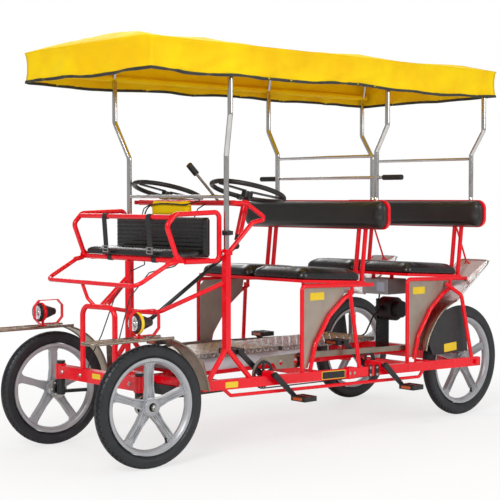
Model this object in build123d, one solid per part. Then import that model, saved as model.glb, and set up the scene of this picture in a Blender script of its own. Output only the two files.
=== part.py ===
from build123d import *
import math
import os

os.makedirs("parts", exist_ok=True)

# Pedal quadricycle. Millimetres, +Z up, the front faces -Y and +X is the vehicle's left side.

# Wheels and running gear
front_radius = 260.0
rear_radius = 285.0
tyre_width = 54.0
rim_ratio = 0.81
front_axle_y = -994.0
rear_axle_y = 1043.0
front_half_track = 365.0
rear_half_track = 383.0
rest_steer_deg = -5.0
kingpin_x = 290.0
spoke_count = 5

# Frame
touch = 0.2
rail_wide = 26.0
rail_tall = 45.0
rail_front_y = -700.0
rail_rear_y = 1078.0
rail_front_x = 348.0
rail_rear_x = 478.0
rail_front_z = 312.0
rail_rear_z = 285.0
post_x = 350.0
post_y = -556.0
post_side = 28.0
post_foot_z = 470.0
post_top_z = 905.0
dash_y = -500.0
dash_z = 1108.0
spine_low = 300.0
spine_high = 328.0
rest_bar_z = 762.0

# Seats
bench_pitch = 745.0
front_bench_y = -109.0
bench_depth = 425.0
bench_half = 372.0
bench_gap = 6.0
side_frame_x = bench_half - 2.0
frame_tube = 10.0
seat_z = 752.0
pad_thick = 56.0
seat_tilt_deg = 3.2
back_half = 500.0
back_low = 972.0
back_high = 1124.0
back_thick = 78.0
back_shell = 30.0
back_y = 300.0
back_post_y = 425.0
soft_gap = 0.4

# Canopy
canopy_half = 465.0
canopy_front = -1065.0
canopy_rear = 1232.0
canopy_low = 1642.0
canopy_eave = 1790.0
canopy_ridge = 1866.0
canopy_skin = 4.0
chrome_tube = 24.0

# Child seat
basket_half = 340.0
basket_back_y = -590.0
basket_front_y = -845.0
basket_low = 862.0
basket_high = 1060.0

# Pedal drive
crank_length = 165.0
crank_rest_deg = -41.0
crank_axis_dz = 26.0
front_crank_y = -325.0
rear_crank_y = 362.0
chainring_radius = 62.0
chain_x = 341.0
chainring_teeth = 24
arm_out = 46.0
inner_arm_x = 319.0


def rail_x(y):
    share = (y - rail_front_y) / (rail_rear_y - rail_front_y)
    return rail_front_x + share * (rail_rear_x - rail_front_x)


def rail_z(y):
    share = (y - rail_front_y) / (rail_rear_y - rail_front_y)
    return rail_front_z + share * (rail_rear_z - rail_front_z)


def save(name, *solids):
    flat = []
    for item in solids:
        if isinstance(item, (list, tuple)):
            flat.extend(item)
        else:
            flat.append(item)
    body = flat[0] if len(flat) == 1 else Compound(children=flat)
    body.label = name
    export_step(body, "parts/" + name + ".step")


def block(x0, x1, y0, y1, z0, z1):
    size = Box(abs(x1 - x0), abs(y1 - y0), abs(z1 - z0))
    return Pos((x0 + x1) / 2, (y0 + y1) / 2, (z0 + z1) / 2) * size


def rounded(x0, x1, y0, y1, z0, z1, radius, axis=Axis.Z):
    solid = block(x0, x1, y0, y1, z0, z1)
    return fillet(solid.edges().filter_by(axis), radius)


def rod(a, b, radius):
    start = Vector(*a)
    along = Vector(*b) - start
    plane = Plane(origin=start, z_dir=along)
    return extrude(plane * Circle(radius), along.length)


def beam(a, b, wide, tall, up=(0, 0, 1)):
    start = Vector(*a)
    along = Vector(*b) - start
    side = along.cross(Vector(*up))
    plane = Plane(origin=start, x_dir=side, z_dir=along)
    return extrude(plane * Rectangle(wide, tall), along.length)


def bent(points, radius, bend):
    path = FilletPolyline(*[Vector(*p) for p in points], radius=bend)
    section = Plane(origin=path @ 0, z_dir=path % 0) * Circle(radius)
    return sweep(section, path=path)


def turned(profile, x, y, z):
    sketch = make_face(Polyline(*[(p[0], p[1]) for p in profile], close=True))
    ring = revolve(Plane.XZ * sketch, Axis.Z, 360)
    return Pos(x, y, z) * Rot(0, 90, 0) * ring


def mirrored(solid):
    return mirror(solid, about=Plane.YZ)


def steered(solid, side):
    pin = side * kingpin_x
    return Pos(pin, front_axle_y, 0) * Rot(0, 0, rest_steer_deg) * Pos(-pin, -front_axle_y, 0) * solid


# Wheels: tyre with a crowned tread, and a cast wheel with five flat spokes
def tyre_at(x, y, radius):
    rim = radius * rim_ratio
    half = tyre_width / 2
    seat = half * 0.55
    profile = [
        (rim - 6, -seat),
        (rim + 4, -half * 0.8),
        (rim + (radius - rim) * 0.5, -half),
        (radius - 9, -half * 0.78),
        (radius, -half * 0.3),
        (radius, half * 0.3),
        (radius - 9, half * 0.78),
        (rim + (radius - rim) * 0.5, half),
        (rim + 4, half * 0.8),
        (rim - 6, seat),
    ]
    return turned(profile, x, y, radius)


def spoke_outline(rim, inset):
    """Half widths of a spoke from the hub to its flared foot in the rim."""
    rows = ((26, 23), (rim * 0.42, 15.5), (rim - 46, 17), (rim - 20, 29))
    right = [(width - inset, reach) for reach, width in rows]
    left = [(-width, reach) for width, reach in reversed(right)]
    return make_face(Polyline(*(right + left), close=True))


def cast_wheel_at(x, y, radius, hub_half, bore):
    rim = radius * rim_ratio
    edge = tyre_width / 2 * 0.55 + 6
    rim_profile = [
        (rim - 24, -edge + 6),
        (rim - 30, -5),
        (rim - 30, 5),
        (rim - 24, edge - 6),
        (rim - 18, edge),
        (rim - 6.3, edge),
        (rim - 6.3, -edge),
        (rim - 18, -edge),
    ]
    hub_profile = [
        (0, -hub_half),
        (22, -hub_half),
        (26, -hub_half + 5),
        (40, -13),
        (40, 13),
        (26, hub_half - 5),
        (22, hub_half),
        (0, hub_half),
    ]
    wheel = turned(rim_profile, x, y, radius) + turned(hub_profile, x, y, radius)
    web = 13.0
    full = extrude(Plane.YZ * spoke_outline(rim, 0), web, both=True)
    pocket = Plane.YZ * spoke_outline(rim - 12, 5.5)
    for side in (1, -1):
        full = full - Pos(side * (web + 4), 0, 0) * extrude(pocket, 9, both=True)
    for index in range(spoke_count):
        wheel = wheel + Pos(x, y, radius) * Rot(index * 360 / spoke_count, 0, 0) * full
    hole = Pos(x, y, radius) * Rot(0, 90, 0) * Cylinder(bore, 400)
    return wheel - hole


axle_radius = 8.0
axle_gap = 0.05
for side, label in ((1, "left"), (-1, "right")):
    x = side * front_half_track
    tyre = steered(tyre_at(x, front_axle_y, front_radius), side)
    wheel = cast_wheel_at(x, front_axle_y, front_radius, 24, axle_radius + axle_gap)
    save("front_tyre_" + label, tyre)
    save("front_wheel_" + label, steered(wheel, side))
    x = side * rear_half_track
    save("rear_tyre_" + label, tyre_at(x, rear_axle_y, rear_radius))
    wheel = cast_wheel_at(x, rear_axle_y, rear_radius, 24, axle_radius + axle_gap)
    save("rear_wheel_" + label, wheel)

# Steering knuckles: kingpin sleeve, brake drum, stub axle and steering arm
beam_z = 345.0
beam_low = beam_z - 34.0
beam_high = beam_z + 34.0
for side, label in ((1, "left"), (-1, "right")):
    pin = side * kingpin_x
    wheel_x = side * front_half_track
    inner = wheel_x - side * (24 + 3)
    stub_end = wheel_x + side * 34
    stub = rod((pin, front_axle_y, front_radius), (stub_end, front_axle_y, front_radius), axle_radius)
    nut = rod(
        (wheel_x + side * 27, front_axle_y, front_radius),
        (wheel_x + side * 36, front_axle_y, front_radius),
        13,
    )
    drum = rod((inner - side * 22, front_axle_y, front_radius), (inner, front_axle_y, front_radius), 42)
    boss = rod((pin, front_axle_y, front_radius - 22), (pin, front_axle_y, beam_low - 2), 19)
    cap = rod((pin, front_axle_y, beam_high + 2), (pin, front_axle_y, beam_high + 14), 19)
    core = rod((pin, front_axle_y, front_radius - 20), (pin, front_axle_y, beam_high + 14), 10)
    arm = beam((pin, front_axle_y, 252), (pin - side * 26, front_axle_y + 118, 252), 20, 14)
    knuckle = stub + nut + drum + boss + cap + core + arm
    save("knuckle_" + label, steered(knuckle, side))

# Front beam with kingpin tubes
sleeve_bore = 10.05
beam_parts = block(-kingpin_x, kingpin_x, front_axle_y - 22, front_axle_y + 22, beam_z - 28, beam_z + 28)
for side in (1, -1):
    pin = side * kingpin_x
    beam_parts = beam_parts + rod((pin, front_axle_y, beam_low), (pin, front_axle_y, beam_high), 24)
for side in (1, -1):
    pin = side * kingpin_x
    beam_parts = beam_parts - rod((pin, front_axle_y, 200), (pin, front_axle_y, 500), sleeve_bore)
save("front_beam", beam_parts)

# Side rails with the crank housings, the lower tube loop and the bracket that joins the two halves
joint_y = 170.0
rails = []
for side in (1, -1):
    rail = beam(
        (side * rail_front_x, rail_front_y, rail_front_z),
        (side * rail_rear_x, rail_rear_y, rail_rear_z),
        rail_wide,
        rail_tall,
    )
    loop_points = []
    for y, drop in ((-585, 16), (-540, 52), (640, 52), (672, 16)):
        loop_points.append((side * rail_x(y), y, rail_z(y) - drop))
    loop = bent(loop_points, 8, 14)
    bracket = Pos(side * rail_x(joint_y), joint_y, rail_z(joint_y)) * Box(rail_wide + 10, 46, rail_tall + 10)
    rail = rail + loop + bracket
    for y in (front_crank_y, rear_crank_y):
        at = (side * (chain_x + 10), y, rail_z(y) + crank_axis_dz)
        end = (side * (rail_x(y) + 24), y, rail_z(y) + crank_axis_dz)
        rail = rail + rod(at, end, 19)
    for y in (front_crank_y, rear_crank_y):
        at = (side * (chain_x - 5), y, rail_z(y) + crank_axis_dz)
        end = (side * (rail_x(y) + 60), y, rail_z(y) + crank_axis_dz)
        rail = rail - rod(at, end, 8.05)
    rails.append(rail)
save("side_rails", rails)


def off_rails(solid):
    for rail in rails:
        solid = solid - rail
    return solid


# Cross members between the rails
cross_rows = (
    (-684.0, 30.0, 34.0),
    (20.0, 26.0, 30.0),
    (640.0, 26.0, 30.0),
)
spine = block(-30, 30, front_axle_y + 22, rear_axle_y - 20, spine_low, spine_high)
members = []
for y, deep, tall in cross_rows:
    z = rail_z(y)
    for side in (1, -1):
        near = side * 30
        far = side * rail_x(y)
        member = block(near, far, y - deep / 2, y + deep / 2, z - tall / 2, z + tall / 2)
        members.append(off_rails(member))
save("cross_members", members)

# Centre spine joins the front beam to the rear axle beam
save("centre_spine", spine)

# Rear axle beam inside the wheels, with stub axles out to the rails
axle_beam = block(-300, 300, rear_axle_y - 20, rear_axle_y + 20, spine_low - 30, spine_high + 4)
for side in (1, -1):
    axle_beam = axle_beam + rod(
        (side * 290, rear_axle_y, rear_radius),
        (side * 461, rear_axle_y, rear_radius),
        axle_radius,
    )
    drum = rod((side * 300, rear_axle_y, rear_radius), (side * 352, rear_axle_y, rear_radius), 40)
    axle_beam = axle_beam + drum
nuts = []
for side in (1, -1):
    face = rail_x(rear_axle_y) + rail_wide / 2 + 0.6
    nut_end = side * (face + 12)
    nuts.append(rod((side * face, rear_axle_y, rear_radius), (nut_end, rear_axle_y, rear_radius), 13))
save("rear_axle", off_rails(axle_beam), [off_rails(item) for item in nuts])

# Main posts: square tube on an inverted Y, with a diagonal up to the dash loop
posts = []
for side in (1, -1):
    x = side * post_x
    side_half = post_side / 2
    post = block(-side_half, side_half, -side_half, side_half, post_foot_z - 12, post_top_z)
    post = Pos(x, post_y, 0) * post
    post = post + Pos(x, post_y, 0) * block(-19, 19, -19, 19, post_top_z - 26, post_top_z - 8)
    foot_z = rail_z(post_y) + rail_tall / 2
    front_leg = rod((x, post_y, post_foot_z), (side * rail_x(-668), -668, foot_z - 8), 12)
    rear_leg = rod((x, post_y, post_foot_z), (side * rail_x(-430), -430, foot_z - 8), 12)
    stay = bent(
        [
            (x, post_y + 6, post_top_z - 20),
            (x, dash_y + 100, dash_z - 88),
            (x, dash_y + 188, dash_z - 74),
            (x, dash_y + 60, dash_z),
            (x, dash_y - 20, dash_z),
        ],
        10,
        12,
    )
    standing = off_rails(post + front_leg + rear_leg + stay)
    for member in members:
        standing = standing - member
    posts.append(standing)
save("main_posts", posts)

# Dash crossbar and steering column housings
steer_x = 288.0
steer_y = -372.0
steer_z = 1160.0
steer_tilt = 16.0
lean = math.radians(steer_tilt)


def on_column(side, along):
    return (
        side * steer_x,
        steer_y + along * math.sin(lean),
        steer_z + along * math.cos(lean),
    )


dash_end = post_x - 10 - touch
dash = rod((-dash_end, dash_y, dash_z), (dash_end, dash_y, dash_z), 13)
for side in (1, -1):
    housing = rod(on_column(side, -205), on_column(side, -44), 17)
    bore = rod(on_column(side, -260), on_column(side, 0), 9.05)
    top = on_column(side, -55)
    stay = rod((side * steer_x, dash_y, dash_z), (side * steer_x, top[1], top[2] - 6), 12)
    dash = dash + stay + housing
    dash = dash - bore
save("dash_bar", dash)
pouch = rounded(-200, 80, dash_y - 52, dash_y - 13.4, 1046, 1120, 14)
save("dash_pouch", pouch)
lever_x = 236.0
lever_foot = (lever_x, dash_y - 6, dash_z + 10)
lever_top = (lever_x, -632.0, 1236.0)
lever_tip = (lever_x, -674.0, 1275.0)
lever = rod(lever_foot, lever_top, 6) + rod(lever_top, lever_tip, 14)
lever = lever - dash

# Steering wheels: ring, three spokes and hub on a steering shaft
for side, label in ((1, "left"), (-1, "right")):
    ring = Torus(166, 11)
    hub = Pos(0, 0, -18) * Cylinder(26, 30)
    wheel = ring + hub
    for angle in (30, 150, 270):
        spoke = Rot(0, 0, angle) * Pos(92, 0, -7) * Rot(0, 4, 0) * Box(150, 22, 7)
        wheel = wheel + spoke
    shaft = Pos(0, 0, -130) * Cylinder(9, 220)
    collar = Pos(0, 0, -218) * Cylinder(15, 22)
    wheel = wheel + shaft + collar
    placed = Pos(side * steer_x, steer_y, steer_z) * Rot(-steer_tilt, 0, 0) * wheel
    save("steering_wheel_" + label, placed)

# Child seat frame
basket = []
for side in (1, -1):
    x = side * basket_half
    loop = bent(
        [
            (x, basket_front_y + 20, basket_low + 4),
            (x, -884, 1012),
            (x, basket_front_y + 8, basket_high),
            (x, basket_back_y, basket_high + 8),
            (x, basket_back_y, 855),
            (x, basket_front_y + 60, 856),
        ],
        11,
        26,
    )
    web = make_face(
        Polyline(
            (basket_front_y - 8, 852),
            (basket_front_y + 62, 850),
            (basket_front_y + 44, 872),
            (basket_front_y + 8, 904),
            close=True,
        )
    )
    gusset = Pos(x, 0, 0) * extrude(Plane.YZ * web, 3, both=True)
    basket.append(loop + gusset)
save("basket_sides", basket)
reach = basket_half - 11 - touch
save(
    "basket_bars",
    [
        rod((-reach, -852, 1048), (reach, -852, 1048), 11),
        rod((-reach, -826, 862), (reach, -826, 862), 11),
        rod((-reach, -640, 858), (reach, -640, 858), 11),
    ],
)
save(
    "child_foot_rest",
    bent(
        [
            (-basket_half + 2, -866, 852),
            (-basket_half + 8, -1040, rest_bar_z),
            (basket_half - 8, -1040, rest_bar_z),
            (basket_half - 2, -866, 852),
        ],
        9.5,
        40,
    ),
)
child_pad = rounded(-basket_half + 14, basket_half - 14, -845, -664, 873.5, 912, 16)
child_pad = fillet(child_pad.faces().sort_by(Axis.Z)[-1].edges(), 8)
save("child_cushion", child_pad)
child_back_low = 858.0 + 11.0 + soft_gap
child_back = rounded(-basket_half + 18, basket_half - 18, -660, -618, child_back_low, 1045, 16, Axis.Y)
child_back = fillet(child_back.faces().sort_by(Axis.Y)[0].edges(), 8)
save("child_backrest", child_back)
straps = []
for x in (-132.0, 188.0):
    straps.append(beam((x, -865, 1046), (x, -852, 888), 4, 30, up=(1, 0, 0)))
save("child_straps", straps)

# Front column, hoop and stays that carry the child seat and foot rest
column_y = -833.0
column = rod((0, column_y, 328), (0, column_y, 850.8), 12)
idler = rod((0, column_y, 586), (96, column_y + 36, 586), 8)
hoop = bent(
    [
        (-118, -994, beam_z + 28),
        (-118, -994, 652),
        (120, -994, 656),
        (120, -994, beam_z + 28),
    ],
    12,
    45,
)
diagonal = rod((0, column_y, 780), (10, -990, 655), 10)
link_rest = bent([(-20, -994, 652), (-55, -1012, 690), (-55, -1038, rest_bar_z - 9.5)], 8, 14)
save("front_hoop", hoop + link_rest)
front_column = column + diagonal + idler - hoop - link_rest
shaft_top = on_column(1, -(240 + 15 + touch))
shaft_low = (100.0, -788.0, 591.0)
shaft = rod(shaft_top, shaft_low, 9)
for at, size in ((shaft_top, 15), (shaft_low, 13)):
    shaft = shaft + Pos(*at) * Sphere(size)
shaft = shaft - front_column
post_links = []
for side in (1, -1):
    link = bent(
        [
            (side * 11.5, column_y, 628),
            (side * 190, -815, 630),
            (side * (post_x - 10), post_y - 6, 757),
        ],
        10,
        60,
    )
    post_links.append(link - posts[0] - posts[1] - column)
save("front_column", front_column)
save("front_stays", post_links)

# Backrests on double struts
backs = []
back_frames = []
for row in (0, 1):
    base = row * bench_pitch
    y0 = back_y + base
    seam_y = y0 + back_thick - back_shell
    pad = rounded(-back_half, back_half, y0, seam_y, back_low, back_high, 46, Axis.Y)
    pad = fillet(pad.faces().sort_by(Axis.Y)[0].edges(), 16)
    backs.append(pad)
    shell = rounded(
        -back_half + 5,
        back_half - 5,
        seam_y + soft_gap,
        y0 + back_thick,
        back_low + 5,
        back_high - 5,
        44,
        Axis.Y,
    )
    shell = fillet(shell.faces().sort_by(Axis.Y)[-1].edges(), 18)
    back_frames.append(shell)
save("backrests", backs)

# Benches: one pad for each rider, in a shallow seat tray
pads = []
trays = []
for row in (0, 1):
    y0 = front_bench_y + row * bench_pitch
    for side in (1, -1):
        inner = bench_gap / 2
        pad = rounded(inner, bench_half, 0, bench_depth, soft_gap, pad_thick, 34)
        pad = fillet(pad.faces().sort_by(Axis.Z)[-1].edges(), 17)
        pad = pad if side > 0 else mirrored(pad)
        pads.append(Pos(0, y0, seat_z) * Rot(-seat_tilt_deg, 0, 0) * pad)
    tray = block(-bench_half + 3, bench_half - 3, 6, bench_depth + 8, -14, 0)
    tray = tray + rod((-bench_half + 15, bench_depth + 8, -9), (bench_half - 15, bench_depth + 8, -9), 9)
    tray = Pos(0, y0, seat_z) * Rot(-seat_tilt_deg, 0, 0) * tray
    for side in (1, -1):
        for x in (bench_half - 78, bench_half - 34):
            foot = (side * x, y0 + bench_depth + 16, seat_z - 36)
            top = (side * x, back_y + 64 + row * bench_pitch, back_low + 20)
            tray = tray + rod(foot, top, 11)
    trays.append(tray - back_frames[row])
save("seat_pads", pads)
save("seat_trays", trays)

# Side frames under the benches: upright and top tube, arc, rear strut, and a mesh panel inside them
arc_line = ((56.0, 24.0), (90.0, 143.0), (184.0, 271.0), (288.0, 348.0), (343.0, 372.0))
panel_gap = frame_tube + touch
side_panels = []
for row, label in ((0, "front"), (1, "rear")):
    y0 = front_bench_y + row * bench_pitch
    frames = []
    for side in (1, -1):
        x = side * side_frame_x
        foot_z = rail_z(y0) + (0 if row == 0 else 15)
        upright = bent(
            [
                (x, y0 + 2, foot_z),
                (x, y0 + 2, 722),
                (x, y0 + (485 if row == 0 else 470), 708),
            ],
            frame_tube,
            22,
        )
        low_z = rail_z(y0)
        arc = bent([(x, y0 + dy, low_z + dz) for dy, dz in arc_line], frame_tube, 60)
        if row == 0:
            strut = rod((side * rail_x(236), 236, rail_z(236) + 14), (x, 215, 690), frame_tube)
            foot = block(min(x, side * rail_x(-50)), max(x, side * rail_x(-50)), -58, -44, low_z, low_z + 26)
        else:
            strut = bent(
                [
                    (side * rail_x(1026), 1026, rail_z(1026) + 14),
                    (side * 447, 972, 630),
                    (side * 384, 925, 688),
                ],
                frame_tube,
                30,
            )
            foot = block(min(x, side * rail_x(700)), max(x, side * rail_x(700)), 691, 707, low_z, low_z + 26)
        lug = rod((x, y0 + 339, low_z + 368), (x, y0 + 339, 714), 9)
        frames.append(off_rails(upright + arc + strut + foot + lug) - trays[row])
        line = [(y0 + 2, low_z + 34), (y0 + 50, low_z + 34)]
        line += [(y0 + dy, low_z + dz) for dy, dz in arc_line[1:4]]
        line += [(y0 + 300, 712), (y0 + 30, 716), (y0 + 2, 690)]
        sheet = Plane.YZ * make_face(Polyline(*line, close=True))
        inner = side * (side_frame_x - panel_gap - 0.8)
        side_panels.append(Pos(inner, 0, 0) * extrude(sheet, 0.75, both=True) - trays[row])
    save(label + "_side_frames", frames)
    rear_frames = frames
save("side_panels", side_panels)

# Chrome canopy posts and crossbars
rear_post_y = back_post_y + bench_pitch
post_rows = (
    (post_y, post_y - 36, 1318.0, 1490.0, 416.0),
    (back_post_y, back_post_y, 1359.0, 1482.0, 420.0),
    (rear_post_y, rear_post_y, 1359.0, 1482.0, 430.0),
)
frame_z = 1700.0
ring_tube = 12.0
posts = []
for low_y, high_y, bend_z, lean_z, top_x in post_rows:
    for side in (1, -1):
        if low_y == post_y:
            foot = [(side * post_x, low_y, post_top_z)]
        else:
            x = side * post_x
            back_face = low_y - back_post_y + back_y + back_thick + chrome_tube / 2 + touch
            foot = [(x, back_face, 1008), (x, back_face, 1064), (x, low_y, 1128)]
        posts.append(
            bent(
                foot
                + [
                    (side * post_x, low_y, bend_z),
                    (side * top_x, high_y, lean_z),
                    (side * top_x, high_y, frame_z - ring_tube - touch),
                ],
                chrome_tube / 2,
                34,
            )
        )
save("canopy_posts", posts)
bars = []
for y, z in ((post_y, 1136.0), (back_post_y, 1335.0), (rear_post_y, 1335.0)):
    end = post_x - chrome_tube / 2 - touch
    bars.append(rod((-end, y, z), (end, y, z), 8))
save("canopy_crossbars", bars)

# Canopy frame inside the fabric: two long bars and four hoops that follow the roof
ring_x = 432.0
hoop_tube = 9.0
ring = [
    rod((ring_x, canopy_front + 30, frame_z), (ring_x, canopy_rear - 30, frame_z), ring_tube),
    rod((-ring_x, canopy_front + 30, frame_z), (-ring_x, canopy_rear - 30, frame_z), ring_tube),
]
under_half = canopy_half - canopy_skin
under_eave = canopy_eave - canopy_skin
under_ridge = canopy_ridge - canopy_skin
roof_drop = hoop_tube + soft_gap
slope_low = (under_ridge - under_eave) * 4 / 3 / under_half
slope_high = (under_ridge - under_eave) * 2 / 3 / under_half
peak_z = under_ridge - roof_drop * math.hypot(1, slope_high)
eave_z = under_eave - roof_drop * math.hypot(1, slope_low) + slope_low * under_half
knee_x = (eave_z - peak_z) / (slope_low - slope_high)
corner_x = ring_x - 30
foot_x = ring_x - ring_tube - touch
tall_line = [(foot_x, frame_z), (corner_x, eave_z - slope_low * corner_x)]
tall_line += [(knee_x, peak_z - slope_high * knee_x), (0, peak_z)]
front_slope = (canopy_ridge + 18 - canopy_eave) / 201
front_hoop_y = canopy_front + 42
front_top = under_eave + 2 + 39 * front_slope - roof_drop * math.hypot(1, front_slope)
front_line = [(foot_x, frame_z), ((eave_z - front_top) / slope_low - 3, front_top)]
hoops = []
for y, line in (
    (front_hoop_y, front_line),
    (post_y - 36, tall_line),
    (back_post_y, tall_line),
    (rear_post_y, tall_line),
):
    right = [(x, y, z) for x, z in line]
    left = [(-x, y, z) for x, z in reversed(line) if x > 0]
    hoops.append(bent(right + left, hoop_tube, 24))
save("canopy_frame", ring, hoops)

# Canopy: closed fabric shell, open below
def canopy_solid(grow, low):
    half = canopy_half - grow
    eave = canopy_eave - grow
    ridge = canopy_ridge - grow
    y0 = canopy_front + grow
    y1 = canopy_rear - grow
    outline = [(-half, low), (-half, eave), (-half * 0.5, (eave + ridge * 2) / 3), (0, ridge)]
    outline += [(half * 0.5, (eave + ridge * 2) / 3), (half, eave), (half, low)]
    face = Plane.XZ * make_face(Polyline(*outline, close=True))
    body = extrude(face, y1 - y0, dir=(0, 1, 0))
    body = Pos(0, y0 - body.bounding_box().min.Y, 0) * body
    cut = Plane.YZ * make_face(
        Polyline(
            (y0 - 1, eave + 2),
            (y0 + 200, ridge + 20),
            (y0 - 1, ridge + 20),
            close=True,
        )
    )
    wedge = extrude(cut, half + 10, both=True)
    return body - wedge


canopy = canopy_solid(0, canopy_low) - canopy_solid(canopy_skin, canopy_low - 10)
save("canopy", canopy)

# Grip bar behind the front backrest
bar_y = back_post_y + chrome_tube / 2 + 8.0 + touch
save("grip_bar", rod((-378, bar_y, 1230), (378, bar_y, 1230), 8))
grips = []
for side in (1, -1):
    grips.append(rod((side * 378.5, bar_y, 1230), (side * 496, bar_y, 1230), 13))
save("bar_grips", grips)

# Pedal cranks: chainring, spindle, two arms and two pedals for each rider
swing = math.radians(crank_rest_deg)
for row, label in ((0, "front"), (1, "rear")):
    y = front_crank_y if row == 0 else rear_crank_y
    for side, hand in ((1, "left"), (-1, "right")):
        mid = rail_x(y)
        z = rail_z(y) + crank_axis_dz
        ring = Cylinder(chainring_radius, 4) - Cylinder(48, 4)
        for tooth in range(chainring_teeth):
            turn = tooth * 360 / chainring_teeth
            gap = Rot(0, 0, turn) * Pos(chainring_radius + 1, 0, 0) * Cylinder(3.6, 6)
            ring = ring - gap
        ring = Pos(side * chain_x, y, z) * Rot(0, 90, 0) * ring
        spider = Pos(side * chain_x, y, z) * Rot(0, 90, 0) * Cylinder(20, 6)
        for arm in range(5):
            bar = Rot(arm * 72, 0, 0) * Pos(0, 0, 34) * Box(4, 13, 34)
            spider = spider + Pos(side * chain_x, y, z) * bar
        spindle = rod((side * (inner_arm_x - 6), y, z), (side * (mid + arm_out + 6), y, z), 8)
        crank = ring + spider + spindle
        pedals = []
        for arm_x, sign in ((mid + arm_out, 1), (inner_arm_x, -1)):
            end_y = y + sign * crank_length * math.cos(swing)
            end_z = z + sign * crank_length * math.sin(swing)
            x = side * arm_x
            arm = Polyline((-14, -12), (14, -12), (9, crank_length + 11), (-9, crank_length + 11), close=True)
            arm = extrude(Plane.YZ * make_face(arm), 6, both=True)
            arm = fillet(arm.edges().filter_by(Axis.X), 6)
            turn = math.degrees(math.atan2(end_z - z, end_y - y)) - 90
            crank = crank + Pos(x, y, z) * Rot(turn, 0, 0) * arm
            out = side * (1 if sign > 0 else -1)
            first = x + out * 8
            crank = crank + rod((x, end_y, end_z), (x + out * 100, end_y, end_z), 5)
            low = min(first, first + out * 94)
            cage = rounded(low, low + 94, end_y - 40, end_y + 40, end_z - 11, end_z + 11, 7)
            for slot_y in (end_y - 23, end_y + 23):
                cage = cage - block(low + 10, low + 84, slot_y - 11, slot_y + 11, end_z - 12, end_z + 12)
            pedals.append(cage)
        for item in pedals:
            crank = crank + item
        save("crank_" + label + "_" + hand, crank)

# Chain guards: an arch round the front of each chainring and a bar back to the rear upright
guards = []
arch_turn = chainring_radius + 16.0
guard_y = front_crank_y
guard_z = rail_z(front_crank_y) + crank_axis_dz
for side in (1, -1):
    centre = (guard_y, guard_z)
    top_z = guard_z + arch_turn
    outer = CenterArc(centre, arch_turn, 90, 110)
    inner = CenterArc(centre, arch_turn - 12, 90, 110)
    band = make_face([outer, inner, Line(outer @ 0, inner @ 0), Line(outer @ 1, inner @ 1)])
    bar = make_face(
        Polyline(
            (guard_y, top_z - 12),
            (guard_y, top_z),
            (-100, top_z + 1),
            (646, top_z - 22),
            (646, top_z - 46),
            (-40, top_z - 28),
            (-92, top_z - 66),
            (-250, top_z - 62),
            (-272, top_z - 30),
            close=True,
        )
    )
    plate = extrude(Plane.YZ * (band + bar), 1.0, both=True)
    for y in (-224, -130):
        plate = plate - Pos(0, y, top_z - 34) * Rot(0, 90, 0) * Cylinder(12, 10)
    lid_points = ((-100, top_z - 1), (-100, top_z + 1), (646, top_z - 22), (646, top_z - 24))
    lid = extrude(Plane.YZ * make_face(Polyline(*lid_points, close=True)), 9, both=True)
    plate = Pos(side * (chain_x + 9), 0, 0) * plate + Pos(side * chain_x, 0, 0) * lid
    for y in (front_bench_y + 2, front_bench_y + 2 + bench_pitch - 8):
        reach = side_frame_x - panel_gap - 1.6 - touch
        low = min(side * (chain_x + 8), side * reach)
        high = max(side * (chain_x + 8), side * reach)
        level = top_z - 8 - 23 * (y + 100) / 746
        plate = plate + block(low, high, y - 6, y + 6, level - 8, level)
    guards.append(plate)
save("chain_guards", guards)

# Chains: one closed band on each side from the front chainring to the rear one
chains = []
rear_z = rail_z(rear_crank_y) + crank_axis_dz
for side in (1, -1):
    run = math.atan2(rear_z - guard_z, rear_crank_y - front_crank_y)
    pitch = chainring_radius + 1.5
    slant = math.degrees(run)

    def belt(radius):
        back = CenterArc((front_crank_y, guard_z), radius, 90 + slant, 180)
        fore = CenterArc((rear_crank_y, rear_z), radius, -90 + slant, 180)
        return make_face([back, fore, Line(back @ 1, fore @ 0), Line(fore @ 1, back @ 0)])

    loop = belt(pitch + 4.5) - belt(pitch - 1.0)
    chains.append(Pos(side * chain_x, 0, 0) * extrude(Plane.YZ * loop, 3.2, both=True))
save("chains", chains)

# Tread plate platform with the battery case below it
plate_half = 165.0
case_low = 342.0
case_high = 400.0
plates = []
for y0, y1, high in ((-700.0, -62.0, 424.0), (-36.0, 620.0, 420.0)):
    plate = block(-plate_half, plate_half, y0, y1, case_high + touch, high)
    inside = block(-plate_half + 3, plate_half - 3, y0 + 3, y1 - 3, case_high - 1, high - 3)
    plates.append(plate - inside)
save("tread_platform", plates)
case = rounded(-150, 150, -590, 220, case_low, case_high, 14)
save("battery_case", case)
base = block(-158, 158, -600, 230, case_low - 14, case_low - touch)
feet = []
for y in (330.0, 590.0):
    stem = block(-26, 26, y - 12, y + 12, 328, case_high + 10)
    head = block(-plate_half + 4, plate_half - 4, y - 12, y + 12, case_high + 4, case_high + touch + 16.6)
    feet.append(stem + head)
tray_top = rail_z(cross_rows[0][0]) - cross_rows[0][2] / 2 - touch
undertray = rounded(-205, 205, -712, -420, tray_top - 46, tray_top, 18)

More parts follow.
